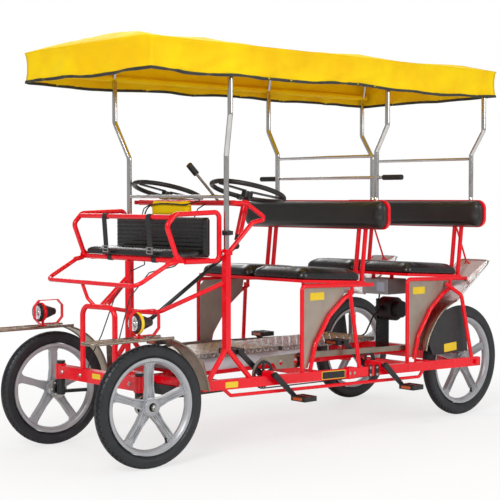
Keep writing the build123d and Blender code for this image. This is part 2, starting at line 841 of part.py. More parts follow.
# Control box on two hangers below the rear bench, and the motor on its mounting plate
hanger_low = 716.0
box_solid = rounded(60, 235, 640, 790, 637, 714, 6)
hangers = []
for x in (85.0, 210.0):
    strap = block(x - 12, x + 12, 700, 703, hanger_low - 2, 750)
    foot = block(x - 12, x + 12, 690, 716, 714.2, hanger_low)
    hangers.append((strap + foot) - trays[1] - pads[2] - pads[3])
save("control_box", box_solid)
motor_y = 850.0
motor_z = 545.0
drum = rod((20, motor_y, motor_z), (118, motor_y, motor_z), 62)
drum = chamfer(drum.edges().filter_by(GeomType.CIRCLE), 6)
gearbox = rod((118, motor_y, motor_z), (152, motor_y, motor_z), 44)
plug = rod((66, motor_y - 98, motor_z + 6), (66, motor_y - 50, motor_z + 6), 17)
save("motor", drum + gearbox + plug)
plate = block(12, 19.8, motor_y - 48, motor_y + 48, 328, motor_z + 52)
plate = plate + block(-26, 12, motor_y - 48, motor_y + 48, 328, 336)
save("equipment_brackets", plate, hangers, base, feet, undertray)

# Front mudguards: a tube loop over the wheel with cross bars, and a sheet band down to the rail
rack_front = -1322.0
rack_z = front_radius + 285.0
rack_half = 46.0
rack_tube = 6.0
band_turn = rack_z - front_radius + 2
racks = []
for side in (1, -1):
    x = side * front_half_track
    line = [(x - rack_half, -905, rack_z), (x - rack_half, rack_front, rack_z)]
    line += [(x + rack_half, rack_front, rack_z), (x + rack_half, -905, rack_z)]
    guard = bent(line, rack_tube, 34)
    guard = guard + rod((x, rack_front, rack_z), (x, -950, rack_z), 4.5)
    for y in (-1150, -1000, -950):
        guard = guard + rod((x - rack_half, y, rack_z), (x + rack_half, y, rack_z), 4)
    arcs = []
    for radius in (band_turn, band_turn + 2.4):
        arcs.append(CenterArc((front_axle_y, front_radius), radius, 8, 66))
    outer, inner = arcs
    band = make_face([outer, inner, Line(outer @ 0, inner @ 0), Line(outer @ 1, inner @ 1)])
    band = Pos(x, 0, 0) * extrude(Plane.YZ * band, rack_half + 1, both=True)
    for dx in (-rack_half, rack_half):
        edge = CenterArc((front_axle_y, front_radius), band_turn + 1, 8, 66)
        path = Pos(x + dx, 0, 0) * (Plane.YZ * edge)
        rim = sweep(Plane(origin=path @ 0, z_dir=path % 0) * Circle(4.5), path=path)
        band = band + rim
    guard = guard + band
    splash = make_face(Polyline((-714, 334), (-700, 306), (-640, 336), (-662, 420), (-720, 446), close=True))
    inner_x = side * (front_half_track - rack_half - 1)
    splash = Pos(inner_x, 0, 0) * extrude(Plane.YZ * splash, 1.0, both=True)
    racks.append(off_rails(guard + splash) - members[0] - members[1])
save("front_mudguards", racks)

# Rear mudguards: a band concentric with the wheel that runs on into a wide raised tail
guard_turn = rear_radius + 38.0
guard_out = rear_half_track + 37.0
guard_in = rear_half_track - 55.0
tail_in = rear_half_track - 163.0
start_deg, sweep_deg = 167.0, -63.0
rear_guards = []
tails = []
for side in (1, -1):
    lower = CenterArc((rear_axle_y, rear_radius), guard_turn, start_deg, sweep_deg)
    upper = CenterArc((rear_axle_y, rear_radius), guard_turn + 2.4, start_deg, sweep_deg)
    knee = lower @ 1
    knee_up = upper @ 1
    tip = (rear_axle_y + 202.0, rear_radius + 511.0)
    tip_up = (tip[0] - 1.6, tip[1] + 1.9)
    arc_face = make_face([lower, upper, Line(lower @ 0, upper @ 0), Line(lower @ 1, upper @ 1)])
    tail_face = make_face(Polyline((knee.X, knee.Y), tip, tip_up, (knee_up.X, knee_up.Y), close=True))
    low = min(side * guard_in, side * guard_out)
    wide = guard_out - guard_in
    band = Pos(low, 0, 0) * extrude(Plane.YZ * arc_face, wide)
    tail_low = min(side * tail_in, side * guard_out)
    tail = Pos(tail_low, 0, 0) * extrude(Plane.YZ * tail_face, guard_out - tail_in)
    hoop_line = [
        (side * guard_out, knee.X, knee.Y + 2),
        (side * guard_out, tip[0], tip[1] + 1),
        (side * tail_in, tip[0], tip[1] + 1),
        (side * tail_in, knee.X, knee.Y + 2),
    ]
    hoop_tube = bent(hoop_line, 6, 34)
    rim = CenterArc((rear_axle_y, rear_radius), guard_turn + 1.2, start_deg, sweep_deg)
    guard = band
    for x in (guard_out, guard_in):
        path = Pos(side * x, 0, 0) * (Plane.YZ * rim)
        guard = guard + sweep(Plane(origin=path @ 0, z_dir=path % 0) * Circle(5), path=path)
    stay_turn = math.radians(154.8)
    stay_ends = []
    for turn in (guard_turn + 1, guard_turn + 22):
        stay_y = rear_axle_y + turn * math.cos(stay_turn)
        stay_z = rear_radius + turn * math.sin(stay_turn)
        stay_ends.append((side * side_frame_x, stay_y, stay_z))
    stay = rod(stay_ends[0], stay_ends[1], 6)
    guard = off_rails(guard + stay) - members[4] - members[5]
    tail = tail + hoop_tube
    for frame in rear_frames:
        guard = guard - frame
        tail = tail - frame
    rear_guards.append(guard)
    tails.append(tail - guard)
save("rear_mudguards", rear_guards)
save("tail_panel", tails)

# Thin braces from the rear backrest to the tails of the mudguards
braces = []
brace_foot = (rear_axle_y + 176.0, rear_radius + 484.0)
for side in (1, -1):
    x = side * (bench_half - 78)
    top = (x, back_y + bench_pitch + back_thick - 6, back_low + 12)
    fork = (x, brace_foot[0] - 14, brace_foot[1] + 26)
    brace = rod(top, fork, 5)
    for dx in (-20, 20):
        brace = brace + rod(fork, (x + dx, brace_foot[0], brace_foot[1] + 4), 4)
    braces.append(brace - back_frames[1] - trays[1] - tails[0] - tails[1])
save("back_frames", back_frames, braces)

# Dark panels outside the rear wheels, on the mudguards' outer rims
panels = []
panel_x = guard_out + 5.0 + touch + 1.5
for side in (1, -1):
    edge = CenterArc((rear_axle_y, rear_radius), guard_turn + 1.2, 160, -38)
    face = make_face(
        [
            edge,
            Line(edge @ 1, (1012, 572)),
            Line((1012, 572), (1052, 336)),
            Line((1052, 336), (770, 336)),
            Line((770, 336), edge @ 0),
        ]
    )
    panel = Pos(side * panel_x, 0, 0) * extrude(Plane.YZ * face, 1.5, both=True)
    panels.append(panel)
save("rear_wheel_panels", panels)

# Headlights with clamp collars, octagonal guards and brackets
lamp_x = front_half_track - 8.0
lamp_z = rack_z + 67.0
lamp_face_y = -1072.0
lamp_radius = 40.0
guard_line = [(-76, -28), (-50, -55), (50, -55), (76, -28), (76, 28), (50, 55), (-50, 55), (-76, 28)]
lamp_profile = [(0, 0), (34, 0), (lamp_radius, 6), (lamp_radius, 22), (33, 34), (15, 88), (0, 90)]
lamps = []
lamp_guards = []
collars = []
for side in (1, -1):
    x = side * lamp_x
    shell = revolve(Plane.XZ * make_face(Polyline(*lamp_profile, close=True)), Axis.Z, 360)
    shell = Pos(x, lamp_face_y, lamp_z) * Rot(-90, 0, 0) * shell
    collar = rod((x, lamp_face_y + 8, lamp_z), (x, lamp_face_y + 20, lamp_z), lamp_radius + 4)
    collar = collar - rod((x, lamp_face_y, lamp_z), (x, lamp_face_y + 40, lamp_z), lamp_radius + touch)
    collars.append(collar)
    lamps.append(shell)
    outer = Plane.YZ * make_face(Polyline(*guard_line, close=True))
    inner = Plane.YZ * make_face(Polyline(*[(p[0] * 0.955, p[1] * 0.935) for p in guard_line], close=True))
    band = extrude(outer, 9, both=True) - extrude(inner, 12, both=True)
    guard_mid = lamp_face_y + 56
    band = Pos(x, guard_mid, lamp_z) * band
    post = rod((x, lamp_face_y + 26, rack_z + 2), (x, lamp_face_y + 26, lamp_z), 6)
    foot = block(x - 16, x + 16, lamp_face_y + 12, lamp_face_y + 40, rack_z + 5, rack_z + 9)
    lamp_guards.append((band + post + foot) - shell - collar - racks[0] - racks[1])
save("headlights", lamps)
save("headlight_guards", lamp_guards, collars)

# Brake cables, each held from the dash to the front beam, with the lever and the steering shaft
cable_radius = 2.6
cable_end_z = beam_z + 28 + cable_radius / 4 + touch
cable_route = (
    # share of the width, along, height
    (1.00, dash_y - 4, dash_z - 2),
    (0.99, dash_y - 56, dash_z - 28),
    (0.95, -592.0, 1000.0),
    (0.76, -602.0, 866.0),
    (0.50, -640.0, 822.0),
    (0.28, -760.0, 798.0),
    (0.20, -862.0, 690.0),
    (0.27, -925.0, 520.0),
    (0.38, -968.0, 420.0),
    (0.38, -980.0, cable_end_z),
)
cables = []
for reach, offset in ((-230.0, -10.0), (130.0, 26.0)):
    line = [(offset + reach * share, y, z) for share, y, z in cable_route]
    cables.append(bent(line, cable_radius, 16) - dash)
save("control_linkage", cables, lever, shaft)
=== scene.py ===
import bmesh
import bpy
from math import atan2, copysign, cos, hypot, pi, radians, sin, sqrt
from mathutils import Matrix, Vector, noise
from mathutils.bvhtree import BVHTree


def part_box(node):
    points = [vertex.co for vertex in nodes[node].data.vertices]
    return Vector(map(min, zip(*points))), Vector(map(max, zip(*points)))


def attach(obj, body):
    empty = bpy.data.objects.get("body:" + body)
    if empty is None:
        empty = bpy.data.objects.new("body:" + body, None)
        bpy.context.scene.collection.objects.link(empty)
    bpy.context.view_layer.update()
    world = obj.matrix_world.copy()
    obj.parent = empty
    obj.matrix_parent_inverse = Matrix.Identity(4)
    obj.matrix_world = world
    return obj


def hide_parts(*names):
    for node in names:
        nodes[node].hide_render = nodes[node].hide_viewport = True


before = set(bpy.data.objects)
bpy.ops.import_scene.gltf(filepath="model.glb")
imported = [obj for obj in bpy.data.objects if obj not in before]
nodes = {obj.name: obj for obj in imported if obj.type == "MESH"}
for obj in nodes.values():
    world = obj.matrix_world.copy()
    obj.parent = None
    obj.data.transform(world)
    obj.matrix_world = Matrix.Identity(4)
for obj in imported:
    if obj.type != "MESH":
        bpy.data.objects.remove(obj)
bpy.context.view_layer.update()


# Materials: small helpers that build procedural node trees

def surface_of(made):
    return made.node_tree.nodes["Principled BSDF"]


def shader(name, colour, roughness=0.5, metallic=0.0, **sockets):
    made = bpy.data.materials.new(name)
    made.use_nodes = True
    sockets.update(Base_Color=(*colour, 1), Roughness=roughness, Metallic=metallic)
    for socket, value in sockets.items():
        surface_of(made).inputs[socket.replace("_", " ")].default_value = value
    made.diffuse_color = (*colour, 1)
    return made


def add(made, kind, **values):
    """A new node in the tree of a material or the world, with its settings and input values."""
    fresh = made.node_tree.nodes.new("ShaderNode" + kind)
    for key, value in values.items():
        if hasattr(fresh, key):
            setattr(fresh, key, value)
        else:
            fresh.inputs[key.replace("_", " ")].default_value = value
    return fresh


def join(made, start, end):
    made.node_tree.links.new(start, end)


def place(made, scale=(1, 1, 1)):
    where = add(made, "TexCoord")
    mapping = add(made, "Mapping", Scale=scale)
    join(made, where.outputs["Object"], mapping.inputs["Vector"])
    return mapping.outputs["Vector"]


def noise_at(made, scale, detail=4.0, stretch=(1, 1, 1)):
    grain = add(made, "TexNoise", Scale=scale, Detail=detail)
    join(made, place(made, stretch), grain.inputs["Vector"])
    return grain.outputs["Fac"]


def spread(made, value, low, high, start=0.35, end=0.65, **settings):
    """A value moved from the range of start to end into the range of low to high."""
    ranged = add(made, "MapRange", From_Min=start, From_Max=end, To_Min=low, To_Max=high, **settings)
    join(made, value, ranged.inputs["Value"])
    return ranged.outputs["Result"]


def ramp(made, value, dark, light, start=0.35, end=0.65):
    colours = add(made, "ValToRGB")
    for element, colour, position in zip(colours.color_ramp.elements, (dark, light), (start, end)):
        element.color = (*colour, 1)
        element.position = position
    join(made, value, colours.inputs["Fac"])
    return colours.outputs["Color"]


def calculate(made, operation, first, second):
    """A math node of a socket and either another socket or a number."""
    step = add(made, "Math", operation=operation)
    join(made, first, step.inputs[0])
    if isinstance(second, bpy.types.NodeSocket):
        join(made, second, step.inputs[1])
    else:
        step.inputs[1].default_value = second
    return step.outputs[0]


def tint(made, value, dark, light):
    join(made, ramp(made, value, dark, light), surface_of(made).inputs["Base Color"])


def rough(made, value, low, high):
    join(made, spread(made, value, low, high), surface_of(made).inputs["Roughness"])


def bump(made, value, strength, distance=0.001, below=None):
    relief = add(made, "Bump", Strength=strength, Distance=distance)
    join(made, value, relief.inputs["Height"])
    if below is not None:
        join(made, below, relief.inputs["Normal"])
    join(made, relief.outputs["Normal"], surface_of(made).inputs["Normal"])
    return relief.outputs["Normal"]


def painted(name, dark, light, roughness, coat):
    made = shader(name, light, roughness, 0.0, Coat_Weight=coat, Coat_Roughness=0.08)
    tint(made, noise_at(made, 9.0), dark, light)
    rough(made, noise_at(made, 40.0), roughness - 0.02, roughness + 0.03)
    bump(made, noise_at(made, 900.0, 2.0), 0.008, 0.0003)
    return made


def bare_metal(name, dark, light, roughness, stretch=(1, 1, 1), metal=1.0):
    made = shader(name, light, roughness, metal)
    tint(made, noise_at(made, 14.0), dark, light)
    rough(made, noise_at(made, 160.0, 3.0, stretch), roughness - 0.04, roughness + 0.05)
    bump(made, noise_at(made, 700.0, 3.0, stretch), 0.03, 0.0002)
    return made


def moulded(name, dark, light, roughness=0.5, grain=1200.0, depth=0.15):
    made = shader(name, light, roughness)
    tint(made, noise_at(made, 20.0), dark, light)
    rough(made, noise_at(made, 90.0), roughness - 0.06, roughness + 0.1)
    bump(made, noise_at(made, grain, 2.0), depth, 0.0005)
    return made


def vinyl(name, colour, roughness):
    made = shader(name, colour, roughness, 0.0, Coat_Weight=0.15, Coat_Roughness=0.3)
    tint(made, noise_at(made, 12.0), tuple(c * 0.8 for c in colour), tuple(c * 1.25 for c in colour))
    rough(made, noise_at(made, 12.0), roughness - 0.02, roughness + 0.04)
    cells = add(made, "TexVoronoi", feature="DISTANCE_TO_EDGE", Scale=420.0)
    join(made, place(made), cells.inputs["Vector"])
    grain = bump(made, cells.outputs["Distance"], 0.06, 0.0004)
    bump(made, noise_at(made, 16.0, 2.0), 0.05, 0.003, grain)
    return made


def woven(name, dark, light, threads=900.0, tone_and_fold_shade_patches=5.0):
    made = shader(name, light, 0.55, 0.0, Sheen_Weight=0.04, Sheen_Roughness=0.4)
    # Broad patches of tone: random on most cloths, and on the yellow canopy cloth painted fold shade (darker
    # ochre)
    tint(made, noise_at(made, tone_and_fold_shade_patches), dark, light)
    weave = None
    for axis in ("X", "Y", "Z"):
        wave = add(made, "TexWave", bands_direction=axis, Scale=threads / 20.0, Distortion=0.0)
        join(made, place(made), wave.inputs["Vector"])
        weave = bump(made, wave.outputs["Fac"], 0.12, 0.0003, weave)
    folds = bump(made, noise_at(made, 18.0, 4.0), 0.18, 0.006, weave)
    bump(made, noise_at(made, 4.6, 2.0), 0.4, 0.05, folds)
    return made


red = painted("red_paint", (0.84, 0.000, 0.009), (0.92, 0.001, 0.014), 0.25, 0.35)
surface_of(red).inputs["Specular IOR Level"].default_value = 0.3
silver = bare_metal("cast_silver", (0.4, 0.41, 0.43), (0.46, 0.47, 0.49), 0.4, metal=0.45)
zinc = bare_metal("zinc_drum", (0.44, 0.46, 0.44), (0.58, 0.6, 0.58), 0.32)
chrome = bare_metal("chrome_tube", (0.6, 0.585, 0.57), (0.7, 0.685, 0.67), 0.13, (1, 1, 0.1))
stainless = bare_metal("stainless", (0.27, 0.225, 0.18), (0.34, 0.285, 0.23), 0.3)
rubber = moulded("tyre_rubber", (0.01, 0.011, 0.014), (0.016, 0.018, 0.022), 0.42, 900.0, 0.08)
soft_rubber = moulded("grip_rubber", (0.008, 0.008, 0.009), (0.013, 0.013, 0.014), 0.6, 700.0, 0.2)
plastic = moulded("black_plastic", (0.008, 0.008, 0.009), (0.012, 0.012, 0.013), 0.42)
black_steel = moulded("black_steel", (0.008, 0.008, 0.009), (0.014, 0.014, 0.015), 0.36, 600.0, 0.08)
pale_box = moulded("pale_box", (0.6, 0.62, 0.65), (0.66, 0.68, 0.71), 0.42, 900.0, 0.05)
panel_dark = moulded("dark_panel", (0.02, 0.02, 0.022), (0.026, 0.026, 0.028), 0.45)
black_vinyl = vinyl("black_vinyl", (0.009, 0.009, 0.01), 0.27)
satin_vinyl = vinyl("satin_vinyl", (0.012, 0.011, 0.01), 0.4)
# The yellow cloth's broad darker ochre patches are painted shade of the canopy's folds
yellow_cloth = woven("yellow_cloth", (0.95, 0.57, 0.0), (1.0, 0.71, 0.0), 900.0, 4.2)
surface_of(yellow_cloth).inputs["Specular IOR Level"].default_value = 0.15
dark_cloth = woven("dark_binding", (0.02, 0.022, 0.012), (0.028, 0.03, 0.017))
webbing = woven("black_webbing", (0.012, 0.013, 0.015), (0.02, 0.021, 0.024), 1600.0)
tail_sheet = bare_metal("tail_sheet", (0.6, 0.59, 0.58), (0.66, 0.65, 0.64), 0.35, metal=0.3)
lamp_shell = moulded("lamp_shell", (0.012, 0.012, 0.013), (0.018, 0.018, 0.019), 0.32)
bolt_steel = bare_metal("bolt_steel", (0.42, 0.41, 0.39), (0.56, 0.55, 0.53), 0.28)
yellow_plate = moulded("yellow_plate", (0.86, 0.6, 0.012), (0.9, 0.64, 0.02), 0.35, 500.0, 0.03)
box_silver = bare_metal("box_silver", (0.36, 0.37, 0.39), (0.42, 0.43, 0.45), 0.34, (1, 0.2, 1), metal=0.7)
label_blue = moulded("pale_label", (0.38, 0.46, 0.58), (0.42, 0.5, 0.62), 0.4, 500.0, 0.03)
amber = shader("amber_reflector", (0.5, 0.1, 0.01), 0.15, 0.0, Coat_Weight=0.8)
tint(amber, noise_at(amber, 300.0), (0.4, 0.05, 0.004), (0.6, 0.12, 0.01))
clear_glass = shader("lamp_glass", (0.95, 0.96, 0.97), 0.04, 0.0, Transmission_Weight=1.0, IOR=1.45)
bump(clear_glass, noise_at(clear_glass, 160.0), 0.12, 0.002)
mirror = bare_metal("lamp_mirror", (0.8, 0.8, 0.8), (0.88, 0.88, 0.88), 0.08)
plate = bare_metal("tread_plate", (0.34, 0.32, 0.3), (0.42, 0.4, 0.375), 0.36)
raised_plate = bare_metal("raised_plate", (0.7, 0.68, 0.65), (0.82, 0.8, 0.77), 0.25)


def overlay(made, share, colour):
    """Lays a colour over a finish's base colour where the share is 1."""
    base = surface_of(made).inputs["Base Color"]
    mixed = add(made, "Mix", data_type="RGBA")
    join(made, share, mixed.inputs[0])
    join(made, base.links[0].from_socket, mixed.inputs[6])
    join(made, colour, mixed.inputs[7])
    join(made, mixed.outputs[2], base)


# Perforated steel of the side panels: small dark holes in a staggered pattern
mesh_steel = bare_metal("perforated_steel", (0.44, 0.375, 0.31), (0.5, 0.43, 0.36), 0.36, metal=0.75)
holes = add(mesh_steel, "TexVoronoi", feature="F1", Scale=260.0, Randomness=0.0)
join(mesh_steel, place(mesh_steel), holes.inputs["Vector"])
hole_share = spread(mesh_steel, holes.outputs["Distance"], 1.0, 0.0, 0.26, 0.34)
hole_colour = add(mesh_steel, "RGB").outputs[0]
hole_colour.default_value = (0.05, 0.045, 0.04, 1)
overlay(mesh_steel, hole_share, hole_colour)


def two_zones(name, first, second, low, high, second_metal=0.0):
    """A copy of a finish that takes a second colour inside a box of the shared frame.

    A box that starts at X = 0 or further out holds on both sides of the vehicle.
    """
    made = first.copy()
    made.name = name
    metallic = surface_of(made).inputs["Metallic"]
    parts = add(made, "SeparateXYZ")
    join(made, add(made, "NewGeometry").outputs["Position"], parts.inputs["Vector"])
    inside = None
    for axis, a, b in zip("XYZ", low, high):
        source = parts.outputs[axis]
        if axis == "X" and a >= 0:
            source = calculate(made, "ABSOLUTE", source, 0.0)
        for limit, kind in ((a, "GREATER_THAN"), (b, "LESS_THAN")):
            test = calculate(made, kind, source, limit)
            inside = test if inside is None else calculate(made, "MULTIPLY", inside, test)
    overlay(made, inside, ramp(made, noise_at(made, 30.0), [c * 0.85 for c in second], second, 0.0, 1.0))
    if second_metal != metallic.default_value:
        join(made, spread(made, inside, metallic.default_value, second_metal, 0.0, 1.0), metallic)
    return made


near_black = (0.01, 0.01, 0.011)
motor_side = two_zones("red_with_black_bracket", red, near_black, (0, 0.7, 0.3), (0.21, 0.97, 0.66))
bracket_finish = two_zones("red_with_black_tray", motor_side, near_black,
                           (0, -0.72, 0.0), (0.21, -0.41, 0.305))
lever_finish = two_zones("black_with_bright_rod", black_steel, (0.34, 0.3, 0.24),
                         (0.22, -0.64, 1.1), (0.25, -0.5, 1.237), 1.0)

finish_of = {
    red: ("back_frames", "basket_bars", "basket_sides", "centre_spine", "child_foot_rest", "cross_members",
          "dash_bar", "front_beam", "front_column", "front_hoop", "front_side_frames",
          "front_stays", "headlight_guards", "main_posts", "rear_axle", "rear_side_frames", "seat_trays",
          "side_rails"),
    silver: ("front_wheel_left", "front_wheel_right", "rear_wheel_left", "rear_wheel_right"),
    chrome: ("canopy_crossbars", "canopy_frame", "canopy_posts", "grip_bar"),
    soft_rubber: ("bar_grips",),
    stainless: ("chain_guards", "front_mudguards", "rear_mudguards"),
    tail_sheet: ("tail_panel",),
    bracket_finish: ("equipment_brackets",),
    lever_finish: ("control_linkage",),
    mesh_steel: ("side_panels",),
    plastic: ("steering_wheel_left", "steering_wheel_right", "motor"),
    black_steel: ("knuckle_left", "knuckle_right", "crank_front_left", "crank_front_right",
                  "crank_rear_left", "crank_rear_right"),
    lamp_shell: ("headlights",),
    pale_box: ("battery_case",),
    box_silver: ("control_box",),
    plate: ("tread_platform",),
    panel_dark: ("rear_wheel_panels",),
    webbing: ("child_straps",),
}
for finish, names in finish_of.items():
    for name in names:
        for material_slot in nodes[name].material_slots:
            material_slot.material = finish


def linked(name, data):
    """A new object of the scene with the given data."""
    made = bpy.data.objects.new(name, data)
    bpy.context.collection.objects.link(made)
    return made


# The tail sheets' hoops are bright tubes: found as the faces off the sheets' plane
def tail_parts():
    source = nodes["tail_panel"]
    made = linked("tail_sheets_and_hoops", source.data.copy())
    made.matrix_world = source.matrix_world
    made.data.materials.clear()
    made.data.materials.append(tail_sheet)
    made.data.materials.append(chrome)
    mesh = bmesh.new()
    mesh.from_mesh(made.data)
    bmesh.ops.remove_doubles(mesh, verts=mesh.verts, dist=1e-5)
    left = set(mesh.faces)
    while left:
        first = left.pop()
        part, edge_faces = [first], [first]
        while edge_faces:
            for edge in edge_faces.pop().edges:
                for face in edge.link_faces:
                    if face in left:
                        left.discard(face)
                        part.append(face)
                        edge_faces.append(face)
        flat = max(part, key=lambda face: face.calc_area()).normal.copy()
        for face in part:
            sheet_like = abs(face.normal.dot(flat)) > 0.995 and face.calc_area() > 6e-5
            face.material_index = 0 if sheet_like else 1
            face.smooth = True
    mesh.to_mesh(made.data)
    mesh.free()
    made.data.set_sharp_from_angle(angle=radians(35))
    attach(made, "chassis")
    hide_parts("tail_panel")


tail_parts()


# Mesh helpers

def at(spot, z=(0, 0, 1), x=(1, 0, 0)):
    """A place with its local Z along one direction and its local X as near as can be to another."""
    up = Vector(z).normalized()
    side = Vector(x) - up * up.dot(Vector(x))
    side.normalize()
    turn = Matrix((side, up.cross(side), up)).transposed().to_4x4()
    return Matrix.Translation(Vector(spot)) @ turn


def soft_rect(wide, tall, corner, steps=5):
    line = []
    for cx, cy, start in ((1, 1, 0), (-1, 1, 90), (-1, -1, 180), (1, -1, 270)):
        for k in range(steps + 1):
            angle = radians(start + 90 * k / steps)
            x = cx * (wide / 2 - corner) + corner * cos(angle)
            y = cy * (tall / 2 - corner) + corner * sin(angle)
            line.append((x, y))
    return line


def circle(radius, sides):
    return [(radius * cos(2 * pi * k / sides), radius * sin(2 * pi * k / sides))
            for k in range(sides)]


class Shape:
    """Collects closed forms and makes one mesh piece of them."""

    def __init__(self):
        self.points = []
        self.faces = []

    def take(self, points, faces, where):
        start = len(self.points)
        self.points += [where @ Vector(p) for p in points]
        self.faces += [[start + k for k in face] for face in faces]

    def loft(self, rings, where=Matrix(), loop=False):
        size = len(rings[0])
        faces = []
        last = len(rings) if loop else len(rings) - 1
        for n in range(last):
            m = (n + 1) % len(rings)
            for k in range(size):
                q = (k + 1) % size
                faces.append([n * size + k, n * size + q, m * size + q, m * size + k])
        if not loop:
            faces.append(list(range(size))[::-1])
            faces.append([(len(rings) - 1) * size + k for k in range(size)])
        self.take([p for ring in rings for p in ring], faces, where)

    def prism(self, outline, depth, where=Matrix(), bevel=0.0):
        """An outline in the local X and Y, raised along Z, with its far edge chamfered."""
        rings = [[(x, y, 0.0) for x, y in outline], [(x, y, depth - bevel) for x, y in outline]]
        if bevel:
            high = max(abs(x) for x, y in outline)
            wide = max(abs(y) for x, y in outline)
            rings.append([(x * (1 - bevel / high), y * (1 - bevel / wide), depth) for x, y in outline])
        self.loft(rings, where)

    def lathe(self, profile, where=Matrix(), steps=28, loop=False):
        """A profile of (radius, height) points turned about the local Z."""
        rings = []
        for radius, height in profile:
            rings.append([(x, y, height) for x, y in circle(max(radius, 1e-5), steps)])
        self.loft(rings, where, loop)

    def bolt(self, spot, facing, size=0.0065):
        where = at(spot, facing)
        self.lathe([(0, 0), (size * 1.25, 0), (size * 1.25, 0.0012), (0, 0.0012)], where, 16)
        self.prism(circle(size, 6), 0.0048, where, 0.0008)
        self.lathe([(0, 0.004), (size * 0.5, 0.004), (size * 0.42, 0.0075), (0, 0.0078)], where, 10)

    def make(self, name, finish, slot, limit=30.0, body="chassis"):
        made = mesh_object(name, self.points, self.faces, finish)
        mesh = bmesh.new()
        mesh.from_mesh(made.data)
        bmesh.ops.remove_doubles(mesh, verts=mesh.verts, dist=4e-5 if limit else 1e-6)
        bmesh.ops.dissolve_degenerate(mesh, edges=mesh.edges, dist=1e-6)
        bmesh.ops.recalc_face_normals(mesh, faces=mesh.faces)
        mesh.to_mesh(made.data)
        mesh.free()
        made.data.set_sharp_from_angle(angle=radians(limit))
        if body:
            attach(made, body)
        return made


def mesh_object(name, points, faces, finish, smooth=True):
    data = bpy.data.meshes.new(name)
    data.from_pydata([tuple(p) for p in points], [], faces)
    data.validate()
    made = linked(name, data)
    data.materials.append(finish)
    if smooth:
        data.polygons.foreach_set("use_smooth", [True] * len(data.polygons))
    return made


def mesh_tree(mesh, turn):
    """A mesh's faces, moved by a matrix, for rays."""
    points = [turn @ vertex.co for vertex in mesh.vertices]
    return BVHTree.FromPolygons(points, [list(face.vertices) for face in mesh.polygons])


def border(across, along):
    """The outer points of a grid, once round, as column and row."""
    ring = [(i, 0) for i in range(across + 1)]
    ring += [(across, j) for j in range(1, along + 1)]
    ring += [(i, along) for i in range(across - 1, -1, -1)]
    ring += [(0, j) for j in range(along - 1, 0, -1)]
    return ring


def grid(across, along):
    """The faces of a grid of points, row by row."""
    row = across + 1
    corners = (0, 1, row + 1, row)
    return [[j * row + i + corner for corner in corners] for j in range(along) for i in range(across)]


sides = ((1, "left"), (-1, "right"))


# Wheels: tyre with cut tread blocks, valve, hub cap, nut and ribs on the spokes.
# An axle gives the wheel's radius, its distance from the middle and its place along the vehicle
front_axle = (0.26, 0.365, -0.994)
rear_axle = (0.285, 0.383, 1.043)
kingpin = 0.29
steer_at_rest = radians(-5.0)
rim_share = 0.81


def wheel_place(side, front):
    """The wheel's centre, with the local Z along the axle towards the outside."""
    radius, x, y = front_axle if front else rear_axle
    where = at((side * x, y, radius), (side, 0, 0), (0, 1, 0))
    if front:
        pin = Matrix.Translation((side * kingpin, y, 0))
        where = pin @ Matrix.Rotation(steer_at_rest, 4, "Z") @ pin.inverted() @ where
    return where, radius


def tyre(name, where, radius, body, node):
    rim = radius * rim_share
    middle = rim + 0.45 * (radius - rim)
    tall = radius - middle
    half_wide = 0.0268
    # Angle round the section, and what is there: 0 plain, 1 a raised line, 2 and 3 blocks with cuts,
    # 4 a groove, 5 the middle
    zones = [(140, 0), (127, 0), (122, 1), (118, 0), (104, 0), (90, 0), (78, 0), (74, 1), (70, 0), (60, 0),
             (52, 0), (50, 2), (32, 2), (30.5, 4), (28.5, 4), (27, 3), (12, 3), (10.5, 4), (8.5, 4), (7, 5)]
    section = [(-angle, kind) for angle, kind in zones] + [(angle, kind) for angle, kind in reversed(zones)]
    phases = (0.0, 0.04, 0.24, 0.28, 0.5, 0.54, 0.74, 0.78)
    periods = 62
    rings = []
    for index in range(periods * len(phases)):
        phase = phases[index % len(phases)]
        turn = 2 * pi * (index // len(phases) + phase) / periods
        ring = [(rim - 0.004, -0.0155)]
        for angle, kind in section:
            c = cos(radians(angle))
            s = sin(radians(angle))
            r = middle + copysign(abs(c) ** 0.82, c) * tall
            z = copysign(abs(s) ** 0.86, s) * half_wide
            cut = kind == 4
            cut = cut or (kind == 2 and 0.03 < phase < 0.26)
            cut = cut or (kind == 3 and 0.53 < phase < 0.76)
            if cut:
                r -= 0.0036 * abs(c)
                z -= copysign(0.0036, s) * abs(s)
            if kind == 1:
                z += copysign(0.0007, s)
            ring.append((r, z))
        ring.append((rim - 0.004, 0.0155))
        rings.append([(r * cos(turn), r * sin(turn), z) for r, z in ring])
    shape = Shape()
    shape.loft(rings, where, True)
    made = shape.make(name, rubber, "tyre", 30, body)
    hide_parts(node)


